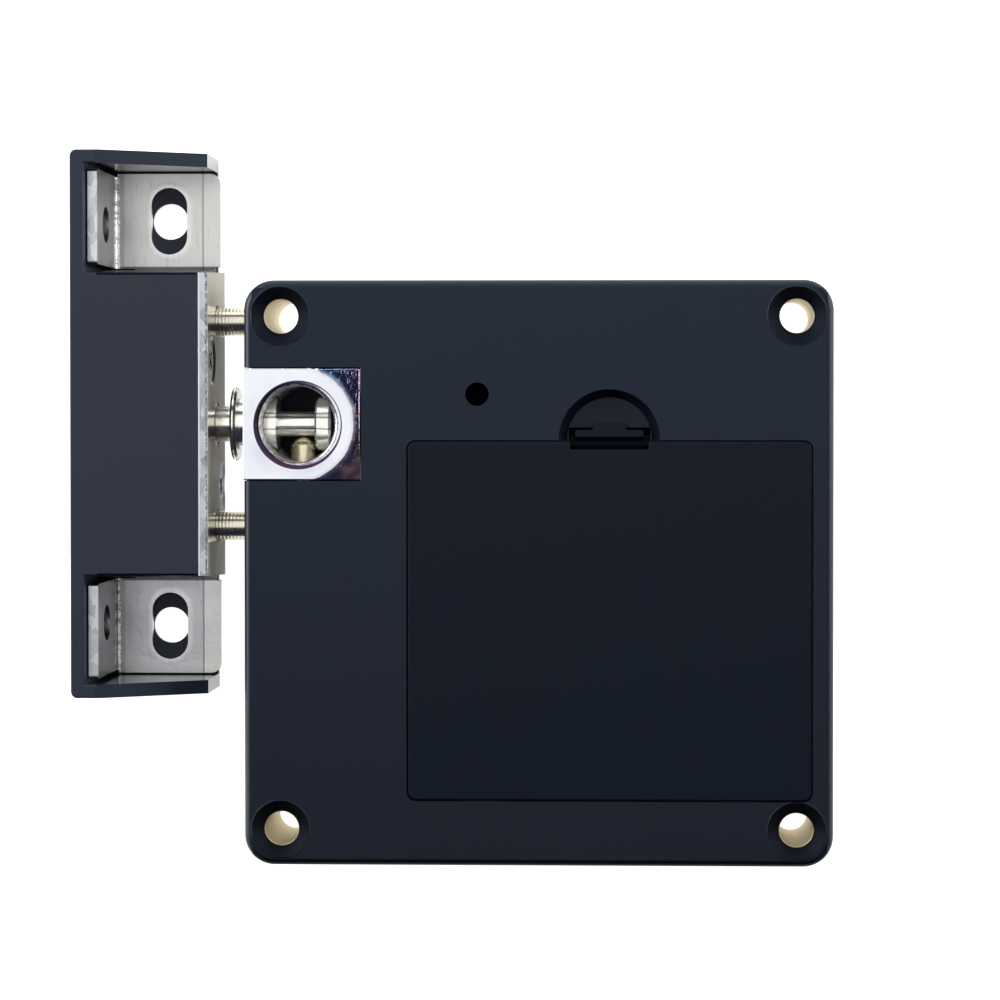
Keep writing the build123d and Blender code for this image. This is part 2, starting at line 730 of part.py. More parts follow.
for number, (side, (first, last)) in enumerate(plate_spans):
    with BuildPart() as contact:
        back_y = bay_high_y if side == "top" else bottom_face_y
        span = cell_xs[last] - cell_xs[first] + contact_width
        with BuildSketch(Plane.XZ.offset(-back_y)):
            with Locations(((cell_xs[first] + cell_xs[last]) / 2, cell_z)):
                RectangleRounded(span, contact_height, contact_corner_radius)
        extrude(amount=contact_thickness)
        # A dome pressed out towards each cell whose cap faces this plate
        for i in range(first, last + 1):
            cap_here = (i % 2 == 0) == (side == "top")
            if cap_here:
                dome_base_y = top_face_y if side == "top" else bottom_face_y
                dome_way = -1 if side == "top" else 1
                tip_y = dome_base_y + dome_way * contact_dome_height
                half_y = dome_base_y + dome_way * dome_middle_y
                with BuildSketch(Plane.XY.offset(cell_z)):
                    with BuildLine():
                        Polyline((cell_xs[i], tip_y), (cell_xs[i], dome_base_y),
                                 (cell_xs[i] + contact_dome_radius, dome_base_y))
                        ThreePointArc((cell_xs[i] + contact_dome_radius, dome_base_y),
                                      (cell_xs[i] + dome_middle_x, half_y), (cell_xs[i], tip_y))
                    make_face()
                revolve(axis=Axis((cell_xs[i], 0, cell_z), (0, 1, 0)))
    keep(contact, f"contact_plate_{number + 1}")

wire_r = cell_spring_wire / 2
coil_length = contact_room - cell_spring_wire - slip

for i, x in enumerate(cell_xs):
    room_low_y = cell_bottom_y - contact_room if i % 2 == 0 else cell_top_y
    start_y = room_low_y + wire_r + slip / 2
    with BuildPart() as cell_spring:
        with BuildLine() as coil:
            Helix(pitch=coil_length / cell_spring_turns, height=coil_length, radius=cell_spring_radius,
                  center=(x, start_y, cell_z), direction=(0, 1, 0))
        with BuildSketch(Plane(origin=coil.line @ 0, z_dir=coil.line % 0)):
            RegularPolygon(wire_r, 6)
        sweep(is_frenet=True)
    keep(cell_spring, f"cell_spring_{i + 1}")

# Circuit board

with BuildPart() as circuit_board:
    with BuildSketch(Plane.XY.offset(board_z)):
        with Locations((board_mid_x, board_mid_y)):
            RectangleRounded(board_right_x - board_left_x, board_height, board_corner_radius)
        with Locations(*[(x, board_screw_y) for x in board_post_xs]):
            Circle(board_screw_radius + slip, mode=Mode.SUBTRACT)
    extrude(amount=board_thickness)
keep(circuit_board, "circuit_board")

with BuildPart() as board_screws:
    with BuildSketch(Plane.XY.offset(board_z - board_screw_head_height)):
        with Locations(*[(x, board_screw_y) for x in board_post_xs]):
            Circle(board_screw_head_radius)
    extrude(amount=board_screw_head_height)
    with BuildSketch(Plane.XY.offset(board_z)):
        with Locations(*[(x, board_screw_y) for x in board_post_xs]):
            Circle(board_screw_radius)
    extrude(amount=board_thickness + board_screw_length - slip)
keep(board_screws, "board_screws")

with BuildPart() as controller_chip:
    with BuildSketch(Plane.XY.offset(board_top_z)):
        with Locations((board_mid_x + chip_offset_x, board_mid_y)):
            Rectangle(chip_size, chip_size)
    extrude(amount=chip_thickness)
    chamfer(controller_chip.faces().sort_by(Axis.Z)[-1].edges(), chip_bevel)
keep(controller_chip, "controller_chip")

buzzer_x = board_mid_x + buzzer_offset_x

with BuildPart() as buzzer:
    with BuildSketch(Plane.XY.offset(board_top_z)):
        with Locations((buzzer_x, board_mid_y)):
            Circle(buzzer_diameter / 2)
    extrude(amount=buzzer_height)
    fillet(buzzer.faces().sort_by(Axis.Z)[-1].edges(), buzzer_edge_radius)
    with Locations((buzzer_x, board_mid_y, board_top_z + buzzer_height)):
        Hole(buzzer_hole / 2, depth=buzzer_height / 2)
keep(buzzer, "buzzer")

plug_x = board_mid_x + plug_offset_x
plug_y = board_mid_y + plug_offset_y

with BuildPart() as antenna_plug:
    with Locations((plug_x, plug_y, board_top_z + plug_size[2] / 2)):
        Box(*plug_size)
    with Locations((plug_x, plug_y, board_top_z + plug_size[2] / 2 + plug_wall)):
        Box(plug_size[0] - 2 * plug_wall, plug_size[1] - 2 * plug_wall, plug_size[2], mode=Mode.SUBTRACT)
keep(antenna_plug, "antenna_plug")

# Reset switch and the button over it

with BuildPart() as reset_switch:
    with BuildSketch(Plane.XY.offset(board_top_z)):
        with Locations((button_x, button_y)):
            Rectangle(switch_size, switch_size)
    extrude(amount=switch_height)
    with Locations((button_x, button_y, switch_top_z)):
        Hole(button_hole / 2, depth=switch_well)
keep(reset_switch, "reset_switch")

stem_radius = button_hole / 2 - free_gap
collar_bottom_z = collar_top_z - button_collar_thickness

with BuildPart() as reset_button:
    with BuildSketch(Plane.XZ.offset(-button_y)):
        with BuildLine():
            Polyline(*[(button_x + r, z) for z, r in
                       stepped(switch_top_z - switch_well + button_travel + slip,
                               [(collar_bottom_z, stem_radius), (collar_top_z, button_collar_radius),
                                (case_height - button_recess, stem_radius)])], close=True)
        make_face()
    revolve(axis=Axis((button_x, button_y, 0), (0, 0, 1)))
keep(reset_button, "reset_button")

# Antenna under the battery bay

antenna_board_z = bay_floor_z - bay_floor_thickness - antenna_board_thickness

with BuildPart() as antenna_board:
    with BuildSketch(Plane.XY.offset(antenna_board_z)):
        with Locations((lid_x, lid_y)):
            RectangleRounded(antenna_width, antenna_length, antenna_corner_radius)
    extrude(amount=antenna_board_thickness)
keep(antenna_board, "antenna_board")

track_width = antenna_width - 2 * antenna_margin
track_length = antenna_length - 2 * antenna_margin

with BuildPart() as antenna_winding:
    with BuildSketch(Plane.XY.offset(antenna_board_z - antenna_track_thickness)):
        with Locations((lid_x, lid_y)):
            RectangleRounded(track_width, track_length, antenna_track_radius)
            RectangleRounded(track_width - 2 * antenna_track, track_length - 2 * antenna_track,
                             antenna_track_radius - antenna_track, mode=Mode.SUBTRACT)
    extrude(amount=antenna_track_thickness)
keep(antenna_winding, "antenna_winding")

# Locking plunger: a pin that stands in the bolt's groove, on the solenoid's core

pin_tip_y = latch_y - bolt_groove / 2 - pin_tip_gap
core_end_y = collar_bottom_y - core_length
pin_radius = pin_diameter / 2
nose_middle_x, nose_middle_y = cap_middle(pin_radius - pin_step, pin_dome_height)

with BuildPart() as locking_plunger:
    with BuildSketch(Plane.XY.offset(latch_z)):
        with BuildLine():
            Polyline((latch_x, pin_tip_y), (latch_x, core_end_y), (latch_x + core_diameter / 2, core_end_y),
                     (latch_x + core_diameter / 2, collar_bottom_y),
                     (latch_x + core_diameter / 2 - collar_groove_depth, collar_bottom_y),
                     (latch_x + core_diameter / 2 - collar_groove_depth, collar_top_y),
                     (latch_x + pin_radius, collar_top_y),
                     (latch_x + pin_radius, pin_tip_y - pin_dome_height - pin_step),
                     (latch_x + pin_radius - pin_step, pin_tip_y - pin_dome_height))
            ThreePointArc((latch_x + pin_radius - pin_step, pin_tip_y - pin_dome_height),
                          (latch_x + nose_middle_x, pin_tip_y - pin_dome_height + nose_middle_y),
                          (latch_x, pin_tip_y))
        make_face()
    revolve(axis=pin_axis)
keep(locking_plunger, "locking_plunger")

with BuildPart() as plunger_clip:
    with BuildSketch(Plane.XZ.offset(-collar_top_y)):
        with Locations((latch_x, latch_z)):
            Circle(collar_diameter / 2)
            Circle(core_diameter / 2 - collar_groove_depth, mode=Mode.SUBTRACT)
            Rectangle(core_diameter - 2 * collar_groove_depth, collar_diameter, mode=Mode.SUBTRACT,
                      align=(Align.CENTER, Align.MAX))
    extrude(amount=collar_thickness)
keep(plunger_clip, "plunger_clip")

spring_wire_r = plunger_spring_wire / 2
spring_room = plunger_spring_room - plunger_spring_wire - slip

with BuildPart() as plunger_spring:
    with BuildLine() as plunger_coil:
        Helix(pitch=spring_room / plunger_spring_turns, height=spring_room, radius=plunger_spring_radius,
              center=(latch_x, frame_top_y + spring_wire_r + slip / 2, latch_z), direction=(0, 1, 0))
    with BuildSketch(Plane(origin=plunger_coil.line @ 0, z_dir=plunger_coil.line % 0)):
        RegularPolygon(spring_wire_r, 6)
    sweep(is_frenet=True)
keep(plunger_spring, "plunger_spring")

# Solenoid: a bent yoke round a wound bobbin, with the pole piece at its far end

pole_end_y = core_end_y - plunger_stroke - pole_gap

with BuildPart() as solenoid_frame:
    with BuildSketch(Plane.YZ.offset(latch_x - frame_width / 2)):
        with Locations((frame_mid_y, latch_z)):
            Rectangle(frame_length, frame_height)
            Rectangle(frame_length - 2 * frame_thickness, frame_height - 2 * frame_thickness,
                      mode=Mode.SUBTRACT)
    extrude(amount=frame_width)
    with BuildSketch(Plane.XZ.offset(-frame_top_y)):
        with Locations((latch_x, latch_z)):
            Circle(core_bore)
    extrude(amount=frame_thickness, mode=Mode.SUBTRACT)
keep(solenoid_frame, "solenoid_frame")

bobbin_high_y = frame_top_y - frame_thickness - slip
bobbin_low_y = frame_low_y + frame_thickness + slip
bobbin_length = bobbin_high_y - bobbin_low_y

with BuildPart() as solenoid_bobbin:
    with BuildSketch(Plane.XZ.offset(-bobbin_high_y)):
        with Locations((latch_x, latch_z)):
            Circle(bobbin_inner_radius + bobbin_wall)
    extrude(amount=bobbin_length)
    for end_y in (bobbin_high_y, bobbin_low_y + bobbin_flange):
        with BuildSketch(Plane.XZ.offset(-end_y)):
            with Locations((latch_x, latch_z)):
                Circle(winding_radius + slip)
        extrude(amount=bobbin_flange)
    with BuildSketch(Plane.XZ.offset(-bobbin_high_y)):
        with Locations((latch_x, latch_z)):
            Circle(bobbin_inner_radius)
    extrude(amount=bobbin_length, mode=Mode.SUBTRACT)
keep(solenoid_bobbin, "solenoid_bobbin")

with BuildPart() as solenoid_winding:
    with BuildSketch(Plane.XZ.offset(-(bobbin_high_y - bobbin_flange))):
        with Locations((latch_x, latch_z)):
            Circle(winding_radius)
            Circle(bobbin_inner_radius + bobbin_wall, mode=Mode.SUBTRACT)
    extrude(amount=bobbin_length - 2 * bobbin_flange)
keep(solenoid_winding, "solenoid_winding")

with BuildPart() as pole_piece:
    with BuildSketch(Plane.XZ.offset(-pole_end_y)):
        with Locations((latch_x, latch_z)):
            Circle(core_diameter / 2)
    extrude(amount=pole_end_y - frame_low_y - frame_thickness)
keep(pole_piece, "pole_piece")

# Latch bolt

shaft_end_x = left_x - bolt_flange_gap - bolt_flange_thickness
flange_end_x = left_x - bolt_flange_gap
body_end_x = flange_end_x + bolt_body_length
groove_end_x = body_end_x + bolt_groove_length
head_end_x = groove_end_x + bolt_head_length
tail_end_x = plate_x - sheet - bolt_tail_length
bolt_stations = [(plate_x - ring_depth, bolt_tail / 2), (shaft_end_x, bolt_shaft / 2),
                 (flange_end_x, bolt_flange / 2), (body_end_x, bolt_body / 2),
                 (groove_end_x, bolt_groove / 2), (head_end_x, bolt_head / 2)]


with BuildPart() as latch_bolt:
    with BuildSketch(Plane.XY.offset(latch_z)):
        with BuildLine():
            Polyline(*[(x, latch_y + r) for x, r in stepped(tail_end_x, bolt_stations)], close=True)
        make_face()
    revolve(axis=bolt_axis)
    head_rims = latch_bolt.edges().filter_by(GeomType.CIRCLE).filter_by(
        lambda edge: abs(edge.radius - bolt_head / 2) < 0.01 or abs(edge.radius - bolt_flange / 2) < 0.01)
    chamfer(head_rims, bolt_chamfer)
keep(latch_bolt, "latch_bolt")

with BuildPart() as bolt_nut:
    with BuildSketch(Plane.YZ.offset(plate_x - sheet - bolt_nut_thickness)):
        with Locations((latch_y, latch_z)):
            RegularPolygon(bolt_nut_width / 2, 6, major_radius=False)
            Circle(bolt_tail / 2, mode=Mode.SUBTRACT)
    extrude(amount=bolt_nut_thickness)
keep(bolt_nut, "bolt_nut")

# Guide posts, riveted into the strike plate

post_tip_x = left_x + post_tip_entry
rivet_x = plate_x - sheet

for name, post_y in (("guide_post_upper", latch_y + post_spacing / 2),
                     ("guide_post_lower", latch_y - post_spacing / 2)):
    with BuildPart() as guide_post:
        with BuildSketch(Plane.XY.offset(latch_z)):
            with BuildLine():
                Polyline(*[(x, post_y + r) for x, r in
                           stepped(rivet_x - post_rivet_height,
                                   [(rivet_x, post_rivet / 2), (plate_x - ring_depth, post_tail / 2),
                                    (post_tip_x, post_diameter / 2)])], close=True)
            make_face()
        revolve(axis=Axis((0, post_y, latch_z), (1, 0, 0)))
        chamfer(guide_post.edges().filter_by(GeomType.CIRCLE).group_by(Axis.X)[-1], post_chamfer)
    keep(guide_post, name)

# Strike bracket

strike_left_x = plate_x - strike_setback - strike_width
strike_right_x = plate_x - strike_setback
strike_low_y = latch_y - strike_length / 2
strike_high_y = latch_y + strike_length / 2
base_bottom_z = strike_back_wall
base_top_z = base_bottom_z + sheet
ear_x = strike_left_x + strike_left_wall + ear_flange_clearance
bracket_length = strike_length - 2 * strike_end_wall - 2 * bracket_end_clearance
bracket_high_y = latch_y + bracket_length / 2
plate_half = block_cover_length / 2
plate_foot_half = plate_half + plate_widening
block_foot_half = plate_half + block_cover_flare
window_length = bracket_length / 2 - plate_foot_half
slot_x = plate_x - slot_x_from_plate
slot_spacing = strike_length - 2 * slot_inset_y
ear_hole_spacing = strike_length - 2 * ear_hole_inset_y
screw_face_x = plate_x - plate_screw_sink
screw_end_x = plate_x - plate_screw_length
screw_head_height = sheet - plate_screw_sink
screw_slope = (plate_screw_head - plate_screw_shank) / 2 / screw_head_height
screw_mouth_radius = plate_screw_head / 2 + plate_screw_sink * screw_slope + slip

with BuildPart() as strike_bracket:
    # The channel's section, drawn as the sheet runs: ear, base, plate
    with BuildSketch(Plane.XZ.offset(-bracket_high_y)):
        with BuildLine():
            Polyline((ear_x, ear_flange_height), (ear_x, base_bottom_z), (plate_x, base_bottom_z),
                     (plate_x, plate_height), (plate_x - sheet, plate_height),
                     (plate_x - sheet, base_top_z), (ear_x + sheet, base_top_z),
                     (ear_x + sheet, ear_flange_height), close=True)
        make_face()
    extrude(amount=bracket_length)
    long_edges = strike_bracket.edges().filter_by(Axis.Y)
    inner_bends = long_edges.filter_by(lambda edge: abs(edge.center().Z - base_top_z) < 0.01)
    fillet(inner_bends, bend_inside)
    outer_bends = strike_bracket.edges().filter_by(Axis.Y).filter_by(
        lambda edge: abs(edge.center().Z - base_bottom_z) < 0.01 and
        min(abs(edge.center().X - ear_x), abs(edge.center().X - plate_x)) < 0.01)
    fillet(outer_bends, bend_inside + sheet)
    # The plate stands only along the middle, a little wider at its foot
    for way in (1, -1):
        with BuildSketch(Plane.YZ.offset(plate_x - sheet - bend_inside)):
            with BuildLine():
                Polyline((latch_y + way * plate_half, plate_height),
                         (latch_y + way * plate_foot_half, base_top_z),
                         (latch_y + way * bracket_length / 2, base_top_z),
                         (latch_y + way * bracket_length / 2, plate_height), close=True)
            make_face()
        extrude(amount=sheet + bend_inside, mode=Mode.SUBTRACT)
        with Locations((plate_x - relief_depth, latch_y + way * plate_foot_half, 0)):
            Box(relief_depth, window_length, plate_height, mode=Mode.SUBTRACT,
                align=(Align.MIN, Align.MIN if way > 0 else Align.MAX, Align.MIN))
        with Locations((plate_x - sheet, latch_y + way * plate_foot_half, 0)):
            Box(sheet, relief_width, base_top_z + bend_inside, mode=Mode.SUBTRACT,
                align=(Align.MIN, Align.MIN if way > 0 else Align.MAX, Align.MIN))
        # The ears end just short of the base's ends
        with Locations((ear_x, latch_y + way * bracket_length / 2, 0)):
            Box(sheet + bend_inside, ear_flange_end_inset, ear_flange_height, mode=Mode.SUBTRACT,
                align=(Align.MIN, Align.MAX if way > 0 else Align.MIN, Align.MIN))
    # The ears stand only beside the two windows
    with Locations((plate_x - bracket_tongue_reach, latch_y, 0)):
        Box(strike_width, 2 * block_foot_half + 2 * slip, strike_height,
            mode=Mode.SUBTRACT, align=(Align.MAX, Align.CENTER, Align.MIN))
    # Rounded corners of the base and of the ears
    base_corners = strike_bracket.edges().filter_by(Axis.Z).filter_by(
        lambda edge: abs(edge.center().X - (plate_x - relief_depth)) < 0.01 and
        abs(abs(edge.center().Y - latch_y) - bracket_length / 2) < 0.01)
    fillet(base_corners, bracket_corner_radius)
    ear_corners = strike_bracket.edges().filter_by(Axis.X).filter_by(
        lambda edge: abs(edge.center().Z - ear_flange_height) < 0.01 and edge.center().X < ear_x + sheet)
    fillet(ear_corners, ear_flange_corner)
    # Slots in the base, round holes in the ears
    with BuildSketch(Plane.XY.offset(base_bottom_z)):
        with Locations((slot_x, latch_y)):
            with GridLocations(1, slot_spacing, 1, 2):
                SlotOverall(slot_length, slot_width, rotation=90)
    extrude(amount=sheet, mode=Mode.SUBTRACT)
    with BuildSketch(Plane.YZ.offset(ear_x)):
        with Locations((latch_y, ear_hole_z)):
            with GridLocations(ear_hole_spacing, 1, 2, 1):
                Circle(ear_hole / 2)
    extrude(amount=sheet, mode=Mode.SUBTRACT)
    # Holes of the strike plate: bolt and posts in their shallow rings, and two countersunk screws
    with BuildSketch(Plane.YZ.offset(plate_x - ring_depth)):
        with Locations((latch_y, latch_z)):
            Circle(bolt_ring / 2)
            with GridLocations(post_spacing, 1, 2, 1):
                Circle(post_ring / 2)
    extrude(amount=ring_depth, mode=Mode.SUBTRACT)
    with BuildSketch(Plane.YZ.offset(plate_x - sheet)):
        with Locations((latch_y, latch_z)):
            Circle(bolt_tail / 2)
            with GridLocations(post_spacing, 1, 2, 1):
                Circle(post_tail / 2)
    extrude(amount=sheet, mode=Mode.SUBTRACT)
    for way in (1, -1):
        screw_y = latch_y + way * plate_screw_offset_y
        screw_z = latch_z + way * plate_screw_offset_z
        with Locations(Plane(origin=(plate_x, screw_y, screw_z), x_dir=(0, 1, 0), z_dir=(1, 0, 0))):
            CounterSinkHole(plate_screw_shank / 2 + slip, screw_mouth_radius, depth=2 * sheet,
                            counter_sink_angle=2 * degrees(atan2(screw_slope, 1)))
keep(strike_bracket, "strike_bracket")

with BuildPart() as plate_screws:
    for way in (1, -1):
        screw_y = latch_y + way * plate_screw_offset_y
        screw_z = latch_z + way * plate_screw_offset_z
        shank_y = screw_y + plate_screw_shank / 2
        with BuildSketch(Plane.XY.offset(screw_z)):
            with BuildLine():
                Polyline((screw_face_x, screw_y), (screw_face_x, screw_y + plate_screw_head / 2),
                         (plate_x - sheet, shank_y), (screw_end_x + plate_screw_point, shank_y),
                         (screw_end_x, screw_y), close=True)
            make_face()
        revolve(axis=Axis((0, screw_y, screw_z), (1, 0, 0)))
        for turn in (45, 135):
            recess_place = (screw_face_x - plate_screw_recess / 2, screw_y, screw_z)
            with Locations(Location(recess_place, (turn, 0, 0))):
                Box(plate_screw_recess, plate_screw_recess_width, plate_screw_recess_span,
                    mode=Mode.SUBTRACT)
keep(plate_screws, "plate_screws")

# Strike cover

slope_x = strike_left_x + strike_slope_start
block_left_x = strike_left_x + strike_left_wall
block_right_x = plate_x - sheet - slip / 2
core_high_z = strike_height - block_core_top
core_low_z = base_top_z + block_core_rib
bracket_room = 2 * block_foot_half + 2 * free_gap

with BuildPart() as strike_cover:
    # Back wall with the two screw holes
    with BuildSketch():
        with Locations(((strike_left_x + strike_right_x) / 2, latch_y)):
            Rectangle(strike_width, strike_length)
        with Locations((slot_x, latch_y)):
            with GridLocations(1, slot_spacing, 1, 2):
                Circle(back_hole / 2, mode=Mode.SUBTRACT)
    extrude(amount=strike_back_wall)
    # Left wall, and end walls whose front edges slope down towards the lock
    with BuildSketch():
        with Locations((strike_left_x, latch_y)):
            Rectangle(strike_left_wall, strike_length, align=(Align.MIN, Align.CENTER))
    extrude(amount=strike_height)
    for wall_high_y in (strike_high_y, strike_low_y + strike_end_wall):
        with BuildSketch(Plane.XZ.offset(-wall_high_y)):
            with BuildLine():
                Polyline((strike_left_x, 0), (strike_right_x, 0), (strike_right_x, strike_low_height),
                         (slope_x, strike_height), (strike_left_x, strike_height), close=True)
            make_face()
        extrude(amount=strike_end_wall)
    outer_corners = strike_cover.edges().filter_by(Axis.Z).filter_by(
        lambda edge: abs(edge.center().X - strike_left_x) < 0.01)
    fillet(outer_corners, strike_corner_radius)
    # Middle block, flared a little towards its foot
    with BuildSketch(Plane.YZ.offset(block_left_x)):
        with BuildLine():
            Polyline((latch_y - plate_half, strike_height), (latch_y - block_foot_half, strike_back_wall),
                     (latch_y + block_foot_half, strike_back_wall), (latch_y + plate_half, strike_height),
                     close=True)
        make_face()
    extrude(amount=block_right_x - block_left_x)
    fillet(strike_cover.faces().sort_by(Axis.Z)[-1].edges(), strike_edge_radius)
    with Locations((strike_left_x, latch_y + strike_nub_offset_y, strike_nub_z)):
        Box(*strike_nub_size)
    # Slot for the bracket's base under the block, and room for its bend
    with Locations((plate_x - bracket_tongue_reach - free_gap, latch_y, strike_back_wall)):
        Box(strike_width, bracket_room, sheet + slip, mode=Mode.SUBTRACT,
            align=(Align.MIN, Align.CENTER, Align.MIN))
    with Locations((block_right_x, latch_y, strike_back_wall)):
        Box(sheet + bend_inside, bracket_room, sheet + slip + bend_inside, mode=Mode.SUBTRACT,
            align=(Align.MAX, Align.CENTER, Align.MIN))
    # Cores open to the strike plate: one behind each post and one round the bolt's nut
    core_height = core_high_z - core_low_z
    outer_core = plate_half - plate_screw_offset_y - block_core_gap - block_core_rib
    outer_core_offset = plate_half - block_core_rib - outer_core / 2
    for way in (1, -1):
        with Locations((block_right_x, latch_y + way * outer_core_offset, (core_high_z + core_low_z) / 2)):
            Box(block_right_x - block_left_x, outer_core, core_height, mode=Mode.SUBTRACT,
                align=(Align.MAX, Align.CENTER, Align.CENTER))
    with Locations((block_right_x, latch_y, (core_high_z + core_low_z) / 2)):
        Box(block_right_x - block_left_x, 2 * (plate_screw_offset_y - block_core_gap), core_height,
            mode=Mode.SUBTRACT, align=(Align.MAX, Align.CENTER, Align.CENTER))
    for way in (1, -1):
        screw_y = latch_y + way * plate_screw_offset_y
        screw_z = latch_z + way * plate_screw_offset_z
        with BuildSketch(Plane.YZ.offset(screw_end_x - free_gap)):
            with Locations((screw_y, screw_z)):
                Circle(plate_screw_shank / 2)
        extrude(amount=plate_screw_length, mode=Mode.SUBTRACT)
keep(strike_cover, "strike_cover")
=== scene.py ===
import json
import math

import bpy
from mathutils import Matrix, Vector


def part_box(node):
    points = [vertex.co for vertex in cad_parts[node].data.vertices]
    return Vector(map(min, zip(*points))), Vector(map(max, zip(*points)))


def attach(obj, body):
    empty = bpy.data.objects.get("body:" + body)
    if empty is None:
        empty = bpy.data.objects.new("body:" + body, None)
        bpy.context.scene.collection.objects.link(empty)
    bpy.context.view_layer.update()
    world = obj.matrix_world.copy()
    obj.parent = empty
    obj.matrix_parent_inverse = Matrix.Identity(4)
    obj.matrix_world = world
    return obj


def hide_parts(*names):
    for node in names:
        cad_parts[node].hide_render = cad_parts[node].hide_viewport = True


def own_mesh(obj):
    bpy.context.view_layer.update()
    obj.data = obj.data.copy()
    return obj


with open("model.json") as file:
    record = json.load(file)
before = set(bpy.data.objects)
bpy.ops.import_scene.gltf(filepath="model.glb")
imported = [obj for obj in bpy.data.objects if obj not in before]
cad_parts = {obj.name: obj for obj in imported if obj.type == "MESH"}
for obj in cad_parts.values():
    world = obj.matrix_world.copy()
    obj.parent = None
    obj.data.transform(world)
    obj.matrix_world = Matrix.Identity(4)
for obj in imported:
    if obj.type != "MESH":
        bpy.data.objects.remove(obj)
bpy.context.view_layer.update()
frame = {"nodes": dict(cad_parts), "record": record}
nodes = frame["nodes"]
mm = 0.001

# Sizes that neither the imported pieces' boxes nor the record give
countersink_radius = 4.5 * mm
case_edge = 1.3 * mm
button_hole_radius = 1.8 * mm
opening_radius = 5.85 * mm
lip_radius = 6.5 * mm
roll_radius = 8.8 * mm
shaft_radius = 2.7 * mm
end_wall = 2.1 * mm
middle_half = 23.2 * mm
window_left = 4.4 * mm
sheet = 1.5 * mm
score_from_plate = 3.5 * mm
wire_radius = 0.25 * mm
coil_turns = 5

# Places on the lock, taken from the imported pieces
case_low, case_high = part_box("case_shell")
block_low, block_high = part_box("latch_block")
cover_low, cover_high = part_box("strike_cover")
bracket_low, bracket_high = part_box("strike_bracket")
bolt_low, bolt_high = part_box("latch_bolt")
pin_low, pin_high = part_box("locking_plunger")
button_low, button_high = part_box("reset_button")
front_z = case_high.z
latch_x = (pin_low.x + pin_high.x) / 2
latch_y = (bolt_low.y + bolt_high.y) / 2
button_x = (button_low.x + button_high.x) / 2
button_y = (button_low.y + button_high.y) / 2
plate_x = bracket_high.x
plate_back_x = plate_x - sheet
score_x = plate_x - score_from_plate
bend_x = bracket_low.x + sheet
strike_half = (cover_high.y - cover_low.y) / 2

# Holes, slots and joints, taken from the record
mounts = {mount["name"]: mount for mount in frame["record"]["mounts"]}
joints = {joint["name"]: joint for joint in frame["record"]["behaviour"]["joints"]}
screws, slots = mounts["case_screws"]["dims"], mounts["strike_slots"]["dims"]
screw_x, screw_y = screws["spacing_x_mm"] * mm / 2, screws["spacing_y_mm"] * mm / 2
screw_radius = screws["hole_r_mm"] * mm
slot_x, slot_spacing = mounts["strike_slots"]["pos_m"][0], slots["spacing_y_mm"] * mm
slot_radius = slots["hole_r_mm"] * mm
slot_reach = slots["slot_length_mm"] * mm / 2 - slot_radius

# The camera stands over this point of the lock and is turned towards its middle
camera_x, camera_y = 17.03 * mm, 24.95 * mm
camera_height = 460 * mm
camera_aim = (-0.02992, -0.01795, -1.0)
focal_length = 108.62
shift_x, shift_y = -0.0593, -0.0357

black = (0.0, 0.0, 0.0)
case_color = (0.0086, 0.0150, 0.0285)


class Term:
    """A socket in a material's nodes, usable in sums and products."""

    def __init__(self, finish, socket):
        self.finish = finish
        self.socket = socket

    def math(self, operation, *others):
        inputs = dict(enumerate((self, *others)))
        return self.finish.node("ShaderNodeMath", {"operation": operation}, inputs)

    def __add__(self, other):
        return self.math("ADD", other)

    def __sub__(self, other):
        return self.math("SUBTRACT", other)

    def __rsub__(self, other):
        return self.finish.node("ShaderNodeMath", {"operation": "SUBTRACT"}, {0: other, 1: self})

    def __mul__(self, other):
        return self.math("MULTIPLY", other)

    def __pow__(self, other):
        return self.math("POWER", other)

    def __abs__(self):
        return self.math("ABSOLUTE")

    __radd__ = __add__

    def capped(self):
        """The smaller of this and 1."""
        return self.math("MINIMUM", 1.0)

    def smooth(self, low, high):
        """0 below low and 1 above high, eased between them; high may be the smaller."""
        return self.finish.node("ShaderNodeMapRange", {"interpolation_type": "SMOOTHSTEP"},
                                {"Value": self, "From Min": low, "From Max": high})

    def band(self, middle, outer, inner):
        """1 within inner of middle and 0 beyond outer, eased between them."""
        return abs(self - middle).smooth(outer, inner)


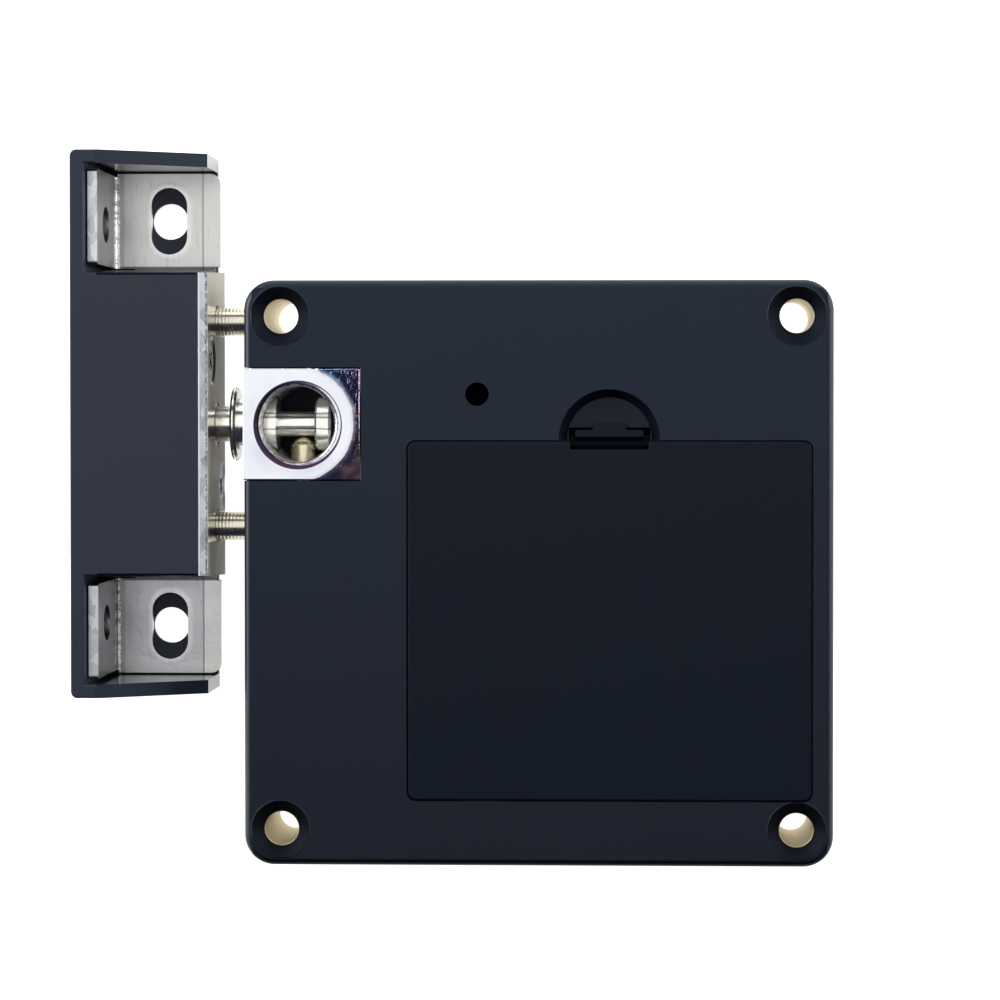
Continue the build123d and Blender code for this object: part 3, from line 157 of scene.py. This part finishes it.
class Finish:
    """One material: a Principled shader and the nodes that feed it."""

    def __init__(self, name, color, **values):
        self.material = bpy.data.materials.new(name)
        self.material.use_nodes = True
        self.tree = self.material.node_tree
        self.shader = self.tree.nodes["Principled BSDF"]
        self.material.diffuse_color = (*color, 1)
        self.set("Base Color", color)
        for socket, value in values.items():
            self.set(socket.replace("_", " ").title().replace("Ior", "IOR"), value)
        place = self.tree.nodes.new("ShaderNodeTexCoord")
        self.place = Term(self, place.outputs["Object"])
        self.x, self.y, self.z = [self.part(self.place, axis) for axis in "XYZ"]
        self.facing_z = self.part(Term(self, place.outputs["Normal"]), "Z")

    def plug(self, socket, value):
        if isinstance(value, Term):
            self.tree.links.new(value.socket, socket)
        elif isinstance(value, (tuple, list)) and len(value) == 3 and socket.type == "RGBA":
            socket.default_value = (*value, 1)
        else:
            socket.default_value = value

    def make(self, kind, settings, inputs):
        """A new node of this kind."""
        made = self.tree.nodes.new(kind)
        for name, value in settings.items():
            setattr(made, name, value)
        for name, value in inputs.items():
            self.plug(made.inputs[name], value)
        return made

    def node(self, kind, settings, inputs, output=0):
        """One output of a new node of this kind."""
        return Term(self, self.make(kind, settings, inputs).outputs[output])

    def set(self, socket, value):
        self.plug(self.shader.inputs[socket], value)

    def part(self, vector, axis):
        return self.node("ShaderNodeSeparateXYZ", {}, {"Vector": vector}, axis)

    def scaled(self, x, y, z):
        return self.node("ShaderNodeVectorMath", {"operation": "MULTIPLY"},
                         {0: self.place, 1: (x, y, z)})

    def noise(self, scale, detail=2.0, roughness=0.5):
        return self.node("ShaderNodeTexNoise", {},
                         {"Vector": self.place, "Scale": scale, "Detail": detail,
                          "Roughness": roughness})

    def stretched_noise(self, scales, detail, roughness, scale=1):
        """Noise with its own scale along each axis."""
        return self.node("ShaderNodeTexNoise", {},
                         {"Vector": self.scaled(*scales), "Scale": scale, "Detail": detail,
                          "Roughness": roughness})

    def cells(self, place, scale):
        """Distance from the nearest cell's centre, and the cell's random colour."""
        made = self.make("ShaderNodeTexVoronoi", {}, {"Vector": place, "Scale": scale})
        return Term(self, made.outputs["Distance"]), Term(self, made.outputs["Color"])

    def specks(self, scale, size, share):
        """Sparse round dots, such as dust; the higher the share, the fewer they are."""
        away, color = self.cells(self.place, scale)
        return away.smooth(size, size * 0.5) * self.part(color, "X").smooth(share, share + 0.02)

    def blend(self, factor, first, second):
        mixed = self.tree.nodes.new("ShaderNodeMix")
        mixed.data_type = "RGBA"
        for socket, value in zip((mixed.inputs[0], mixed.inputs[6], mixed.inputs[7]),
                                 (factor, first, second)):
            self.plug(socket, value)
        return Term(self, mixed.outputs[2])

    def ramp(self, factor, stops):
        """Colour for each factor, from pairs of a place and a colour."""
        made = self.make("ShaderNodeValToRGB", {}, {"Fac": factor})
        for place, _ in stops[2:]:
            made.color_ramp.elements.new(place)
        for stop, (place, color) in zip(made.color_ramp.elements, stops):
            stop.position, stop.color = place, (*color, 1)
        return Term(self, made.outputs["Color"])

    def bump(self, height, distance):
        self.set("Normal", self.node("ShaderNodeBump", {},
                                     {"Height": height, "Distance": distance}))

    def from_axis_z(self, x, y):
        """Distance from a line along Z."""
        across, along = self.x - x, self.y - y
        return (across * across + along * along) ** 0.5


def shade(color, factor):
    """The colour made darker or brighter by a factor."""
    return tuple(min(1, part * factor) for part in color)


# Moulded plastics

def plastic(name, color, rough, shine, grain=0.004, raised=None):
    """Fine spark-eroded mould texture with faint flow marks and handling shine."""
    made = Finish(name, color, roughness=rough, specular_ior_level=shine)
    made.flow = made.noise(28, 3.0, 0.55) - 0.5
    cloud = made.noise(140, 4.0, 0.6) - 0.5
    made.tone = made.blend(made.flow * 0.5 + cloud * 0.3 + 0.5,
                           shade(color, 0.88), shade(color, 1.12))
    made.set("Base Color", made.tone)
    made.set("Roughness", rough + made.flow * 0.10 + cloud * 0.06)
    relief = (made.noise(3800) + made.noise(900) * 0.8) * grain * mm
    made.bump(relief + raised(made) if raised else relief, 1.0)
    return made


def at_screws(made, mask):
    """The sum of mask(distance) over the axes of the four screw holes."""
    total = 0.0
    for x in (-screw_x, screw_x):
        for y in (-screw_y, screw_y):
            total = mask(made.from_axis_z(x, y)) + total
    return total


def countersink_rims(made):
    """A fine raised rim round each countersink."""
    height = 0.10 * mm
    return at_screws(made, lambda away: away.band(countersink_radius, 0.13 * mm, 0.0)) * height


def case_plastic(name):
    """The case's plastic: shiny along its outer edge, painted near-black shade where it is sunk,
    cream in its screw holes."""
    rough = 0.46
    made = plastic(name, case_color, rough, 0.18, raised=countersink_rims)
    # Painted shade: darker towards the lower edge
    tone = made.blend(made.y.smooth(case_low.y, case_high.y),
                      made.blend(0.30, made.tone, black), made.tone)
    # The rounded outer edge, and the slopes of everything else
    sloped = made.facing_z.smooth(0.995, 0.93) * made.facing_z.smooth(0.05, 0.25)
    inset, eased = case_edge, case_edge * 0.9
    left = made.x.smooth(case_low.x + inset, case_low.x + eased)
    right = made.x.smooth(case_high.x - inset, case_high.x - eased)
    head = made.y.smooth(case_high.y - inset, case_high.y - eased)
    foot = made.y.smooth(case_low.y + inset, case_low.y + eased)
    inner = sloped * (1 - (left + head + right).capped()) * (1 - foot)
    # Painted shade in the button's hole below its front rim
    hole_edge = button_hole_radius + 0.03 * mm
    well = (made.from_axis_z(button_x, button_y).smooth(hole_edge + 0.05 * mm, hole_edge)
            * made.z.smooth(front_z - 0.02 * mm, front_z - 0.25 * mm))
    # Painted shade, near black, on the inner slopes, along the lower edge and in the button's hole
    sunk_shade = (inner * 0.62 + foot * sloped * 0.9 + well).capped()
    tone = made.blend(sunk_shade, tone, (0.0008, 0.0014, 0.0030))
    # A painted highlight round each countersink's rim
    rim_highlight = at_screws(made, lambda away: away.band(countersink_radius, 0.12 * mm, 0.02 * mm))
    tone = made.blend(rim_highlight * 0.22, tone, (0.06, 0.08, 0.12))
    made.set("Coat Weight", sloped * (left + right * 0.6 + head * 0.3).capped() * (1 - foot) * 0.55)
    made.set("Coat Roughness", 0.38)
    # Walls of the screw holes, warmer and darker in the lower two, and darker deeper down as
    # painted shade
    walls = at_screws(made, lambda away: away.smooth(screw_radius + 0.07 * mm,
                                                     screw_radius + 0.02 * mm))
    streak = made.stretched_noise((2600, 2600, 160), 3.0, 0.7)
    deep = made.z.smooth(front_z * 0.9, front_z * 0.1)
    upper = made.y.smooth(-20 * mm, 20 * mm)
    cream = made.blend(deep * 0.55 + streak * 0.45,
                       made.blend(upper, (0.86, 0.77, 0.53), (1.0, 0.94, 0.78)),
                       made.blend(upper, (0.64, 0.55, 0.33), (0.88, 0.79, 0.58)))
    made.set("Base Color", made.blend(walls, tone, cream))
    made.set("Metallic", walls * 0.62 + sunk_shade * (1 - walls) * 0.85)
    made.set("Roughness", (1 - walls) * (rough + made.flow * 0.10 + inner * 0.12) + walls * 0.5)
    return made


def strike_plastic():
    """The strike's plastic, smoother where the end walls came off the mould's side faces."""
    rough = 0.46
    made = plastic("strike_plastic", (0.0168, 0.0236, 0.0395), rough, 0.27)
    away = abs(made.y - latch_y)
    wall_y = strike_half - end_wall
    inner = away.smooth(wall_y - 0.06 * mm, wall_y - 0.02 * mm)
    inner = inner * away.smooth(wall_y + 0.05 * mm, wall_y + 0.02 * mm)
    ends = made.x.smooth(cover_high.x - 0.06 * mm, cover_high.x - 0.02 * mm)
    bare = (inner + ends).capped()
    made.set("Roughness", (1 - bare) * (rough + made.flow * 0.10) + bare * 0.14)
    # The middle block's edges towards the windows lie in shade
    shaded = away.smooth(middle_half - 0.42 * mm, middle_half - 0.30 * mm)
    shaded = shaded * away.smooth(middle_half + 0.3 * mm, middle_half + 0.1 * mm)
    window_x = cover_low.x + window_left
    shaded = shaded * made.x.smooth(window_x, window_x + 0.4 * mm)
    made.set("Base Color", made.blend(shaded * 0.9, made.tone, (0.002, 0.0028, 0.005)))
    made.set("Metallic", shaded * 0.85)
    return made


def plain(name, color, rough=0.5):
    """A plain moulding, a lacquered board or a printed sleeve left blank."""
    return plastic(name, color, rough, 0.4, 0.002)


# Metals

def metal(name, color, rough, relief, direction=(1, 1, 1), grain=1500):
    """Plated metal with drawn lines and blotches; relief is how deep they go, in mm."""
    made = Finish(name, color, metallic=1.0, roughness=rough)
    made.lines = made.stretched_noise(direction, 3.0, 0.6, grain)
    cloud = made.noise(220, 4.0, 0.6)
    made.tone = made.blend(cloud, shade(color, 0.86), shade(color, 1.1))
    made.set("Base Color", made.tone)
    made.set("Roughness", rough + (cloud - 0.5) * 0.16 + (made.lines - 0.5) * 0.10)
    made.bump(made.lines + cloud * 0.4, relief * mm)
    return made


def block_chrome():
    """Bright chrome; polishing has rolled the front face off round the opening's right side."""
    plate = (0.665, 0.675, 0.705)
    made = Finish("block_chrome", plate, metallic=1.0, roughness=0.07)
    away = made.from_axis_z(latch_x, latch_y)
    front = made.z.smooth(front_z - 0.5 * mm, front_z - 0.2 * mm)
    front_right = made.x.smooth(latch_x - 1.0 * mm, latch_x + 2.0 * mm) * front
    ragged = away + (made.noise(420, 4.0, 0.6) - 0.5) * 0.5 * mm
    fall = (ragged - roll_radius).math("MAXIMUM", 0.0) * front_right * 1.4
    rolled = ragged.smooth(roll_radius - 0.1 * mm, roll_radius + 0.4 * mm) * front_right
    wave = made.noise(160)
    scratch = made.stretched_noise((5200, 900, 900), 3.0, 0.7).smooth(0.60, 0.72)
    spot = made.specks(1300, 0.16, 0.72)
    made.bump(wave * 0.05 * mm - fall * 0.35
              + (scratch * 0.012 * mm + spot * 0.03 * mm) * rolled, 1.0)
    # Colour of the thin plate where it is rolled off: blue, turning purple and pink to the case
    low = made.y.smooth(latch_y - 1 * mm, latch_y - 7 * mm)
    hue = made.noise(330, 4.0, 0.65) + (made.x - (latch_x + 7.5 * mm)) * 45 + low * 0.2
    tint = made.ramp(hue, ((0.32, (0.20, 0.42, 0.62)), (0.50, (0.20, 0.24, 0.44)),
                           (0.64, (0.40, 0.26, 0.34)), (0.82, (0.85, 0.55, 0.50))))
    # Painted shade: darker bluish clouds on the chrome, strongest near the opening
    shade_veil = made.noise(75, 3.0, 0.6).smooth(0.42, 0.66)
    shade_veil = shade_veil * (away.smooth(9.5 * mm, 7.0 * mm) * 0.5 + 0.25)
    tone = made.blend(rolled, made.blend(shade_veil, plate, (0.50, 0.52, 0.58)), tint)
    # Inside the opening the thin plating is mottled, with painted light making it bright on the
    # left, and dark on the right
    deep = away.smooth(opening_radius + 0.12 * mm, opening_radius + 0.02 * mm)
    deep = deep * made.z.smooth(front_z - 0.60 * mm, front_z - 0.85 * mm)
    cloud = made.stretched_noise((1500, 1500, 500), 4.0, 0.7)
    painted_lit_side = made.x.smooth(latch_x - 2.6 * mm, latch_x - 4.4 * mm)
    mottled = made.blend(cloud.smooth(0.36, 0.60), (0.22, 0.21, 0.21), (0.97, 0.97, 0.96))
    wall = made.blend(painted_lit_side, (0.80, 0.79, 0.76), mottled)
    # The rounded lip carries a painted dark reflection of the room, in a crescent that is widest on
    # its left
    on_lip = made.z.smooth(front_z - 0.78 * mm, front_z - 0.66 * mm)
    lip = away.smooth(lip_radius + 0.06 * mm, lip_radius - 0.06 * mm) * on_lip
    lip_reflection = made.blend(cloud.smooth(0.35, 0.6), (0.20, 0.19, 0.23), (0.62, 0.61, 0.66))
    tone = made.blend(lip, tone, lip_reflection)
    outside = made.from_axis_z(latch_x + 0.22 * mm, latch_y - 0.12 * mm)
    inside = made.from_axis_z(latch_x + 0.51 * mm, latch_y + 0.03 * mm)
    crescent = (outside.smooth(6.86 * mm, 6.74 * mm) * inside.smooth(6.26 * mm, 6.38 * mm)
                * on_lip)
    violet = made.blend(wave.smooth(0.4, 0.6), (0.030, 0.032, 0.085), (0.060, 0.026, 0.060))
    violet = made.blend(away.smooth(6.35 * mm, 6.0 * mm) * 0.85, violet, (0.004, 0.003, 0.006))
    tone = made.blend(crescent, tone, violet)
    # Bright specks along the edges next to the case: painted glints
    glint_from, glint_to = 0.55 * mm, 0.35 * mm
    edges = (made.x.smooth(block_high.x - glint_from, block_high.x - glint_to)
             + made.y.smooth(block_high.y - glint_from, block_high.y - glint_to)).capped()
    edge_glints = made.specks(900, 0.30, 0.30) * edges * front
    tone = made.blend(edge_glints, tone, (0.90, 0.90, 0.92))
    made.set("Base Color", made.blend(deep, tone, wall))
    made.set("Metallic", 1 - deep * (painted_lit_side * 0.5 + 0.4) - crescent * 0.15 - edge_glints * 0.8)
    made.set("Roughness", (1 - deep) * (0.05 + made.noise(900, 3.0, 0.6) * 0.06)
             + ragged.band(roll_radius, 0.9 * mm, 0.0) * front_right * 0.24
             + rolled * (scratch * 0.22 + cloud * 0.08 + spot * 0.4 + low * 0.20)
             + deep * 0.34 + lip * 0.22 + crescent * 0.2)
    return made


def strike_sheet():
    """Plated sheet with spangled cut edges, bright rims round its slots and worn bend lines."""
    rough = 0.32
    made = Finish("nickel_sheet", (0.60, 0.59, 0.57), metallic=1.0, roughness=rough)
    cloud = made.noise(300, 4.0, 0.65)
    fine = made.noise(1500, 3.0, 0.6)
    height = made.y - latch_y
    tone = made.blend(cloud, (0.47, 0.462, 0.445), (0.62, 0.612, 0.59))
    tone = made.blend(height.smooth(-20 * mm, -26 * mm), tone, (0.47, 0.475, 0.48))
    # Bright rims round the two slots, and dark streaks
    on_base = made.z.smooth(front_z * 0.5, front_z * 0.4)
    along = (abs(abs(height) - slot_spacing / 2) - slot_reach).math("MAXIMUM", 0.0)
    across = made.x - slot_x
    around = (across * across + along * along) ** 0.5 + (fine - 0.5) * 0.5 * mm
    rim = around.smooth(slot_radius + 1.1 * mm, slot_radius + 0.25 * mm) * on_base
    tone = made.blend(rim * 0.36, tone, (0.86, 0.855, 0.84))
    streaks = made.stretched_noise((2600, 260, 260), 4.0, 0.7).smooth(0.56, 0.70) * on_base
    tone = made.blend(streaks * 0.35, tone, (0.26, 0.25, 0.235))
    # The scored line beside the plate, and the lighter strip between the two
    strip = made.x.smooth(score_x, score_x + 0.1 * mm) * on_base
    strip = strip * (0.2 + height.smooth(0.0, -20 * mm) * 0.5)
    tone = made.blend(strip, tone, (0.68, 0.67, 0.62))
    score = made.x.band(score_x, 0.14 * mm, 0.02 * mm) * on_base
    tone = made.blend(score * 0.32, tone, (0.16, 0.15, 0.14))
    # Painted shadow in the corner between the base and the middle block
    corner_shadow = abs(height).smooth(middle_half + 1.90 * mm, middle_half + 1.65 * mm) * on_base
    tone = made.blend(corner_shadow * 0.85, tone, (0.03, 0.032, 0.04))
    # The bend to the ear: a strip of painted shade, a darker ear, and torn bright plating between
    # them
    on_ear = made.x.smooth(bend_x + 0.35 * mm, bend_x + 0.2 * mm)
    shaded_strip = made.x.band(bend_x + 0.7 * mm, 0.7 * mm, 0.5 * mm) * on_base * (1 - on_ear)
    tone = made.blend(shaded_strip * 0.45, tone, (0.22, 0.215, 0.20))
    ear_face = made.x.smooth(bend_x + 0.1 * mm, bend_x + 0.02 * mm)
    tone = made.blend(ear_face * 0.56, tone, (0.12, 0.12, 0.11))
    reach = made.z * 0.30 + (made.x - bend_x)
    torn = (made.stretched_noise((1, 1100, 1), 4.0, 0.7) - 0.5) * 3.2 * mm
    worn = (reach + torn * 0.3).smooth(1.36 * mm, 1.26 * mm)
    worn = worn * (reach + torn * 0.16).smooth(0.42 * mm, 0.52 * mm)
    worn = worn * made.z.smooth(5.2 * mm, 4.9 * mm)
    worn = worn * made.stretched_noise((600, 1500, 600), 4.0, 0.75).smooth(0.36, 0.50)
    tone = made.blend(worn, tone, (0.98, 0.98, 0.96))
    # The plate's face towards the case is duller, with painted shade that darkens and yellows it,
    # most of all at its foot
    face = made.x.smooth(plate_x - 0.06 * mm, plate_x - 0.01 * mm)
    rise = made.z.smooth(3.0 * mm, front_z + 1.0 * mm)
    deep = made.blend(height.smooth(12 * mm, 18 * mm), (0.10, 0.080, 0.036), (0.36, 0.34, 0.26))
    face_shade = made.blend(rise * 0.8 + cloud * 0.2, deep, (0.35, 0.330, 0.235))
    face_shade = made.blend(made.z.smooth(2.6 * mm, 2.0 * mm), face_shade, (0.42, 0.40, 0.34))
    tone = made.blend(face, tone, face_shade)
    # Cut edges towards the front carry a coarse spangle, brighter on the ears
    cut = made.facing_z.smooth(0.7, 0.9) * made.z.smooth(3.5 * mm, 4.5 * mm)
    facet = made.part(made.cells(made.scaled(900, 420, 900), 1.0)[1], "X")
    spangle = (facet * 0.5 + cloud * 0.3 + fine * 0.2).smooth(0.25, 0.75)
    tone = made.blend(cut, tone, made.blend(spangle, (0.32, 0.325, 0.345), (0.62, 0.625, 0.64)))
    bright = made.blend(spangle, (0.55, 0.56, 0.57), (0.95, 0.95, 0.95))
    tone = made.blend(cut * ear_face * 0.7, tone, bright)
    # Along the plate's cut edge, a bright burr at the back and dirt at the front
    burr = made.x.smooth(plate_back_x - 0.02 * mm, plate_back_x + 0.02 * mm)
    burr = burr * made.x.smooth(plate_back_x + 0.28 * mm, plate_back_x + 0.18 * mm)
    tone = made.blend(cut * burr * 0.8, tone, (0.92, 0.90, 0.88))
    dirt_x = made.x + (fine - 0.5) * 0.6 * mm
    dirt = dirt_x.band(plate_x - 0.22 * mm, 0.20 * mm, 0.05 * mm) * cut
    tone = made.blend(dirt * fine.smooth(0.40, 0.55) * 0.9, tone, (0.10, 0.10, 0.105))
    made.set("Base Color", tone)
    # Round the bolt and the posts the face is polished and mirrors them
    polished = 0.0
    for name in ("latch_bolt", "guide_post_upper", "guide_post_lower"):
        low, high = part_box(name)
        polished = made.y.band((low.y + high.y) / 2, 2.35 * mm, 2.0 * mm) + polished
    polished = polished * face
    made.set("Metallic", 1 - face * 0.6 + polished * 0.45)
    made.set("Roughness", (1 - face) * (rough + (cloud - 0.5) * 0.16 + worn * 0.12)
             + face * (0.50 + (cloud - 0.5) * 0.2) - polished * 0.30
             + cut * (0.10 + (facet - 0.5) * 0.12))
    nick = made.specks(700, 0.10, 0.80)
    made.bump(fine * 0.5 + cloud * 0.4 + facet * cut * 0.7 + rim * 0.6 - score
              + worn * 1.2 - nick * 0.8, 0.03 * mm)
    return made


def bolt_steel():
    """Turned and plated; bright all round where it stands in the block."""
    rough, relief = 0.21, 0.008
    made = metal("turned_steel", (0.95, 0.93, 0.84), rough, relief, (14, 1, 1), 220)
    within = made.x.smooth(block_low.x + 1.0 * mm, block_low.x + 2.0 * mm)
    across = made.y - latch_y
    flattened = across * across * within * (0.62 / (2 * shaft_radius))
    made.bump(made.lines * relief * mm + flattened, 1.0)
    made.set("Metallic", 1 - within * 0.3)
    made.set("Roughness", rough + (made.lines - 0.5) * 0.1 - within * 0.08)
    # Two dark lines that the opening's edge throws on the shaft
    ragged = across + (made.noise(700, 3.0, 0.6) - 0.5) * 0.35 * mm
    upper = ragged.smooth(0.85 * mm, 0.95 * mm) * ragged.smooth(1.9 * mm, 1.7 * mm)
    upper = upper * (1 - ragged.band(1.35 * mm, 0.22 * mm, 0.10 * mm) * 0.6)
    lower = ragged.band(-0.75 * mm, 0.13 * mm, 0.05 * mm)
    made.set("Base Color", made.blend((upper * 0.75 + lower * 0.8) * within, made.tone,
                                      (0.06, 0.06, 0.055)))
    return made


def screw_head_steel():
    """Blackened heads with bright spots painted as glints."""
    made = metal("plate_screw_steel", (0.05, 0.05, 0.048), 0.36, 0.05, grain=900)
    glint_spots = made.noise(1700, 3.0, 0.7).smooth(0.54, 0.66)
    made.set("Base Color", made.blend(glint_spots, (0.035, 0.035, 0.033), (0.80, 0.79, 0.76)))
    made.set("Metallic", 0.35)
    return made


def contact_nickel():
    """Thin plated sheet; its up-facing cut edges are painted near black as shade."""
    made = metal("contact_nickel", (0.70, 0.69, 0.66), 0.24, 0.006)
    shaded_edges = made.facing_z.smooth(0.7, 0.85)
    made.set("Base Color", made.blend(shaded_edges, made.tone, (0.006, 0.006, 0.006)))
    return made


def post_steel():
    """Turned pins with close rings."""
    ring_pitch = 0.55 * mm
    made = Finish("post_steel", (0.67, 0.635, 0.52), metallic=1.0, roughness=0.24)
    ring = (made.x * (2 * math.pi / ring_pitch)).math("SINE")
    made.bump(ring * 0.9 + made.stretched_noise((3000, 250, 250), 3.0, 0.6), 0.006 * mm)
    return made


# The plunger's return spring

def plunger_coil(finish):
    """Round wire wound on the plunger's axis."""
    low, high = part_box("plunger_spring")
    coil_radius = (high.x - low.x) / 2 - wire_radius
    length = high.y - low.y
    bpy.ops.object.select_all(action="DESELECT")
    bpy.ops.mesh.primitive_circle_add(vertices=12, radius=wire_radius,
                                      location=(coil_radius, 0, 0), rotation=(math.pi / 2, 0, 0))
    coil = bpy.context.object
    coil.name = "plunger_coil"
    bpy.ops.object.transform_apply(location=True, rotation=True, scale=True)
    wind = coil.modifiers.new("wind", "SCREW")
    wind.angle = 2 * math.pi
    wind.screw_offset = (length - 2 * wire_radius) / coil_turns
    wind.iterations = coil_turns
    wind.steps = wind.render_steps = 40
    bpy.ops.object.modifier_apply(modifier="wind")
    # Close the wire's two ends
    bpy.ops.object.mode_set(mode="EDIT")
    bpy.ops.mesh.select_all(action="SELECT")
    bpy.ops.mesh.fill_holes(sides=0)
    bpy.ops.mesh.select_all(action="SELECT")
    bpy.ops.mesh.normals_make_consistent(inside=False)
    bpy.ops.object.mode_set(mode="OBJECT")
    coil.rotation_euler = (-math.pi / 2, 0, 0)
    coil.location = ((low.x + high.x) / 2, low.y + wire_radius, (low.z + high.z) / 2)
    bpy.ops.object.transform_apply(location=True, rotation=True, scale=True)
    bpy.ops.object.shade_smooth_by_angle(angle=math.radians(50))
    coil.data.materials.append(finish.material)
    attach(coil, "lock")
    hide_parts("plunger_spring")
    stroke = joints["plunger_slide"]["range_m"][1]
    1 - stroke / length
    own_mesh(coil)


# Floor, camera and lights

def floor():
    bpy.ops.object.select_all(action="DESELECT")
    bpy.ops.mesh.primitive_plane_add(size=6, location=(0, 0, case_low.z - 0.4 * mm))
    ground = bpy.context.object
    ground.name = "floor"
    made = Finish("floor_paper", (0.95, 0.95, 0.94), roughness=0.9)
    made.set("Emission Color", (1.0, 1.0, 1.0))
    made.set("Emission Strength", 0.95)
    ground.data.materials.append(made.material)


def camera_turn():
    """The camera's turn: it looks along camera_aim with its upper side towards +Y."""
    back = -Vector(camera_aim).normalized()
    right = Vector((0, 1, 0)).cross(back).normalized()
    return Matrix((right, back.cross(right), back)).transposed()


def camera():
    lens = bpy.data.cameras.new("camera")
    lens.lens = focal_length
    lens.sensor_width = 36
    lens.shift_x, lens.shift_y = shift_x, shift_y
    lens.clip_start, lens.clip_end = 0.01, 20
    stand = bpy.data.objects.new("camera", lens)
    stand.location = (camera_x, camera_y, front_z + camera_height)
    stand.rotation_euler = camera_turn().to_euler()
    bpy.context.scene.collection.objects.link(stand)
    bpy.context.scene.camera = stand


def softbox(name, place, aim, size, radiance):
    """A rectangular lamp that faces its aim; radiance is how bright its face looks."""
    lamp = bpy.data.lights.new(name, "AREA")
    lamp.shape = "RECTANGLE"
    lamp.size, lamp.size_y = size
    lamp.energy = radiance * math.pi * size[0] * size[1]
    stand = bpy.data.objects.new(name, lamp)
    stand.location = Vector(place)
    stand.rotation_mode = "QUATERNION"
    stand.rotation_quaternion = (Vector(aim) - Vector(place)).to_track_quat("-Z", "Y")
    stand.visible_camera = False
    bpy.context.scene.collection.objects.link(stand)


def studio():
    """A dim blue room with a large lamp overhead, and strip lamps left, right and beyond."""
    scene = bpy.context.scene
    scene.view_settings.view_transform = "Standard"
    room = bpy.data.worlds.new("room")
    room.use_nodes = True
    background = room.node_tree.nodes["Background"]
    background.inputs["Color"].default_value = (0.42, 0.44, 1.0, 1)
    background.inputs["Strength"].default_value = 0.05
    scene.world = room
    lock_middle = (0, 0, 0.01)
    softbox("overhead", (-0.04, 0.22, 0.62), (-0.04, 0.22, 0), (0.72, 0.62), 1.33)
    softbox("left_strip", (-0.7, 0.28, 0.28), lock_middle, (0.8, 0.3), 9.0)
    softbox("right_strip", (0.7, 0.28, 0.24), lock_middle, (0.8, 0.30), 6.0)
    softbox("top_strip", (0, 0.8, 0.26), lock_middle, (0.9, 0.3), 2.6)


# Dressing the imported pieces

def dress(finish, *names):
    for name in names:
        piece = nodes[name]
        piece.data.materials.clear()
        piece.data.materials.append(finish.material)


cells = [f"cell_{number}" for number in range(1, 5)]
cell_springs = [f"cell_spring_{number}" for number in range(1, 5)]
contact_plates = [f"contact_plate_{number}" for number in range(1, 6)]
spring_steel = metal("spring_steel", (0.60, 0.60, 0.58), 0.25, 0.004)

dress(case_plastic("case_plastic"), "case_shell")
dress(case_plastic("cover_plastic"), "back_cover")
dress(plastic("lid_plastic", (0.0034, 0.0072, 0.0150), 0.44, 0.11), "battery_lid")
dress(strike_plastic(), "strike_cover")
# The button is near black with little shine: painted shade at the foot of its hole
dress(plastic("button_plastic", (0.0008, 0.0008, 0.001), 0.6, 0.02), "reset_button")
dress(block_chrome(), "latch_block")
dress(strike_sheet(), "strike_bracket")
dress(bolt_steel(), "latch_bolt")
dress(post_steel(), "guide_post_upper", "guide_post_lower")
dress(metal("pin_steel", (0.66, 0.60, 0.42), 0.22, 0.006), "locking_plunger")
dress(metal("screw_steel", (0.60, 0.60, 0.59), 0.28, 0.006),
      "cover_screws", "block_screws", "board_screws", "bolt_nut")
dress(screw_head_steel(), "plate_screws")
dress(metal("yoke_steel", (0.56, 0.56, 0.54), 0.34, 0.01), "solenoid_frame", "pole_piece")
dress(spring_steel, "plunger_spring", "plunger_clip", *cell_springs)
dress(contact_nickel(), *contact_plates)
dress(plain("bobbin_plastic", (0.72, 0.70, 0.62)), "solenoid_bobbin")
dress(metal("copper_winding", (0.72, 0.34, 0.16), 0.35, 0.05, (1, 30, 1), 400),
      "solenoid_winding", "antenna_winding")
dress(plain("board_green", (0.03, 0.16, 0.07), 0.3), "circuit_board", "antenna_board")
dress(plain("black_mould", (0.015, 0.015, 0.017), 0.4),
      "controller_chip", "buzzer", "reset_switch")
dress(plain("plug_plastic", (0.72, 0.70, 0.62), 0.4), "antenna_plug")
dress(plain("cell_jacket", (0.05, 0.12, 0.22), 0.25), *cells)

plunger_coil(spring_steel)

floor()
studio()
camera()
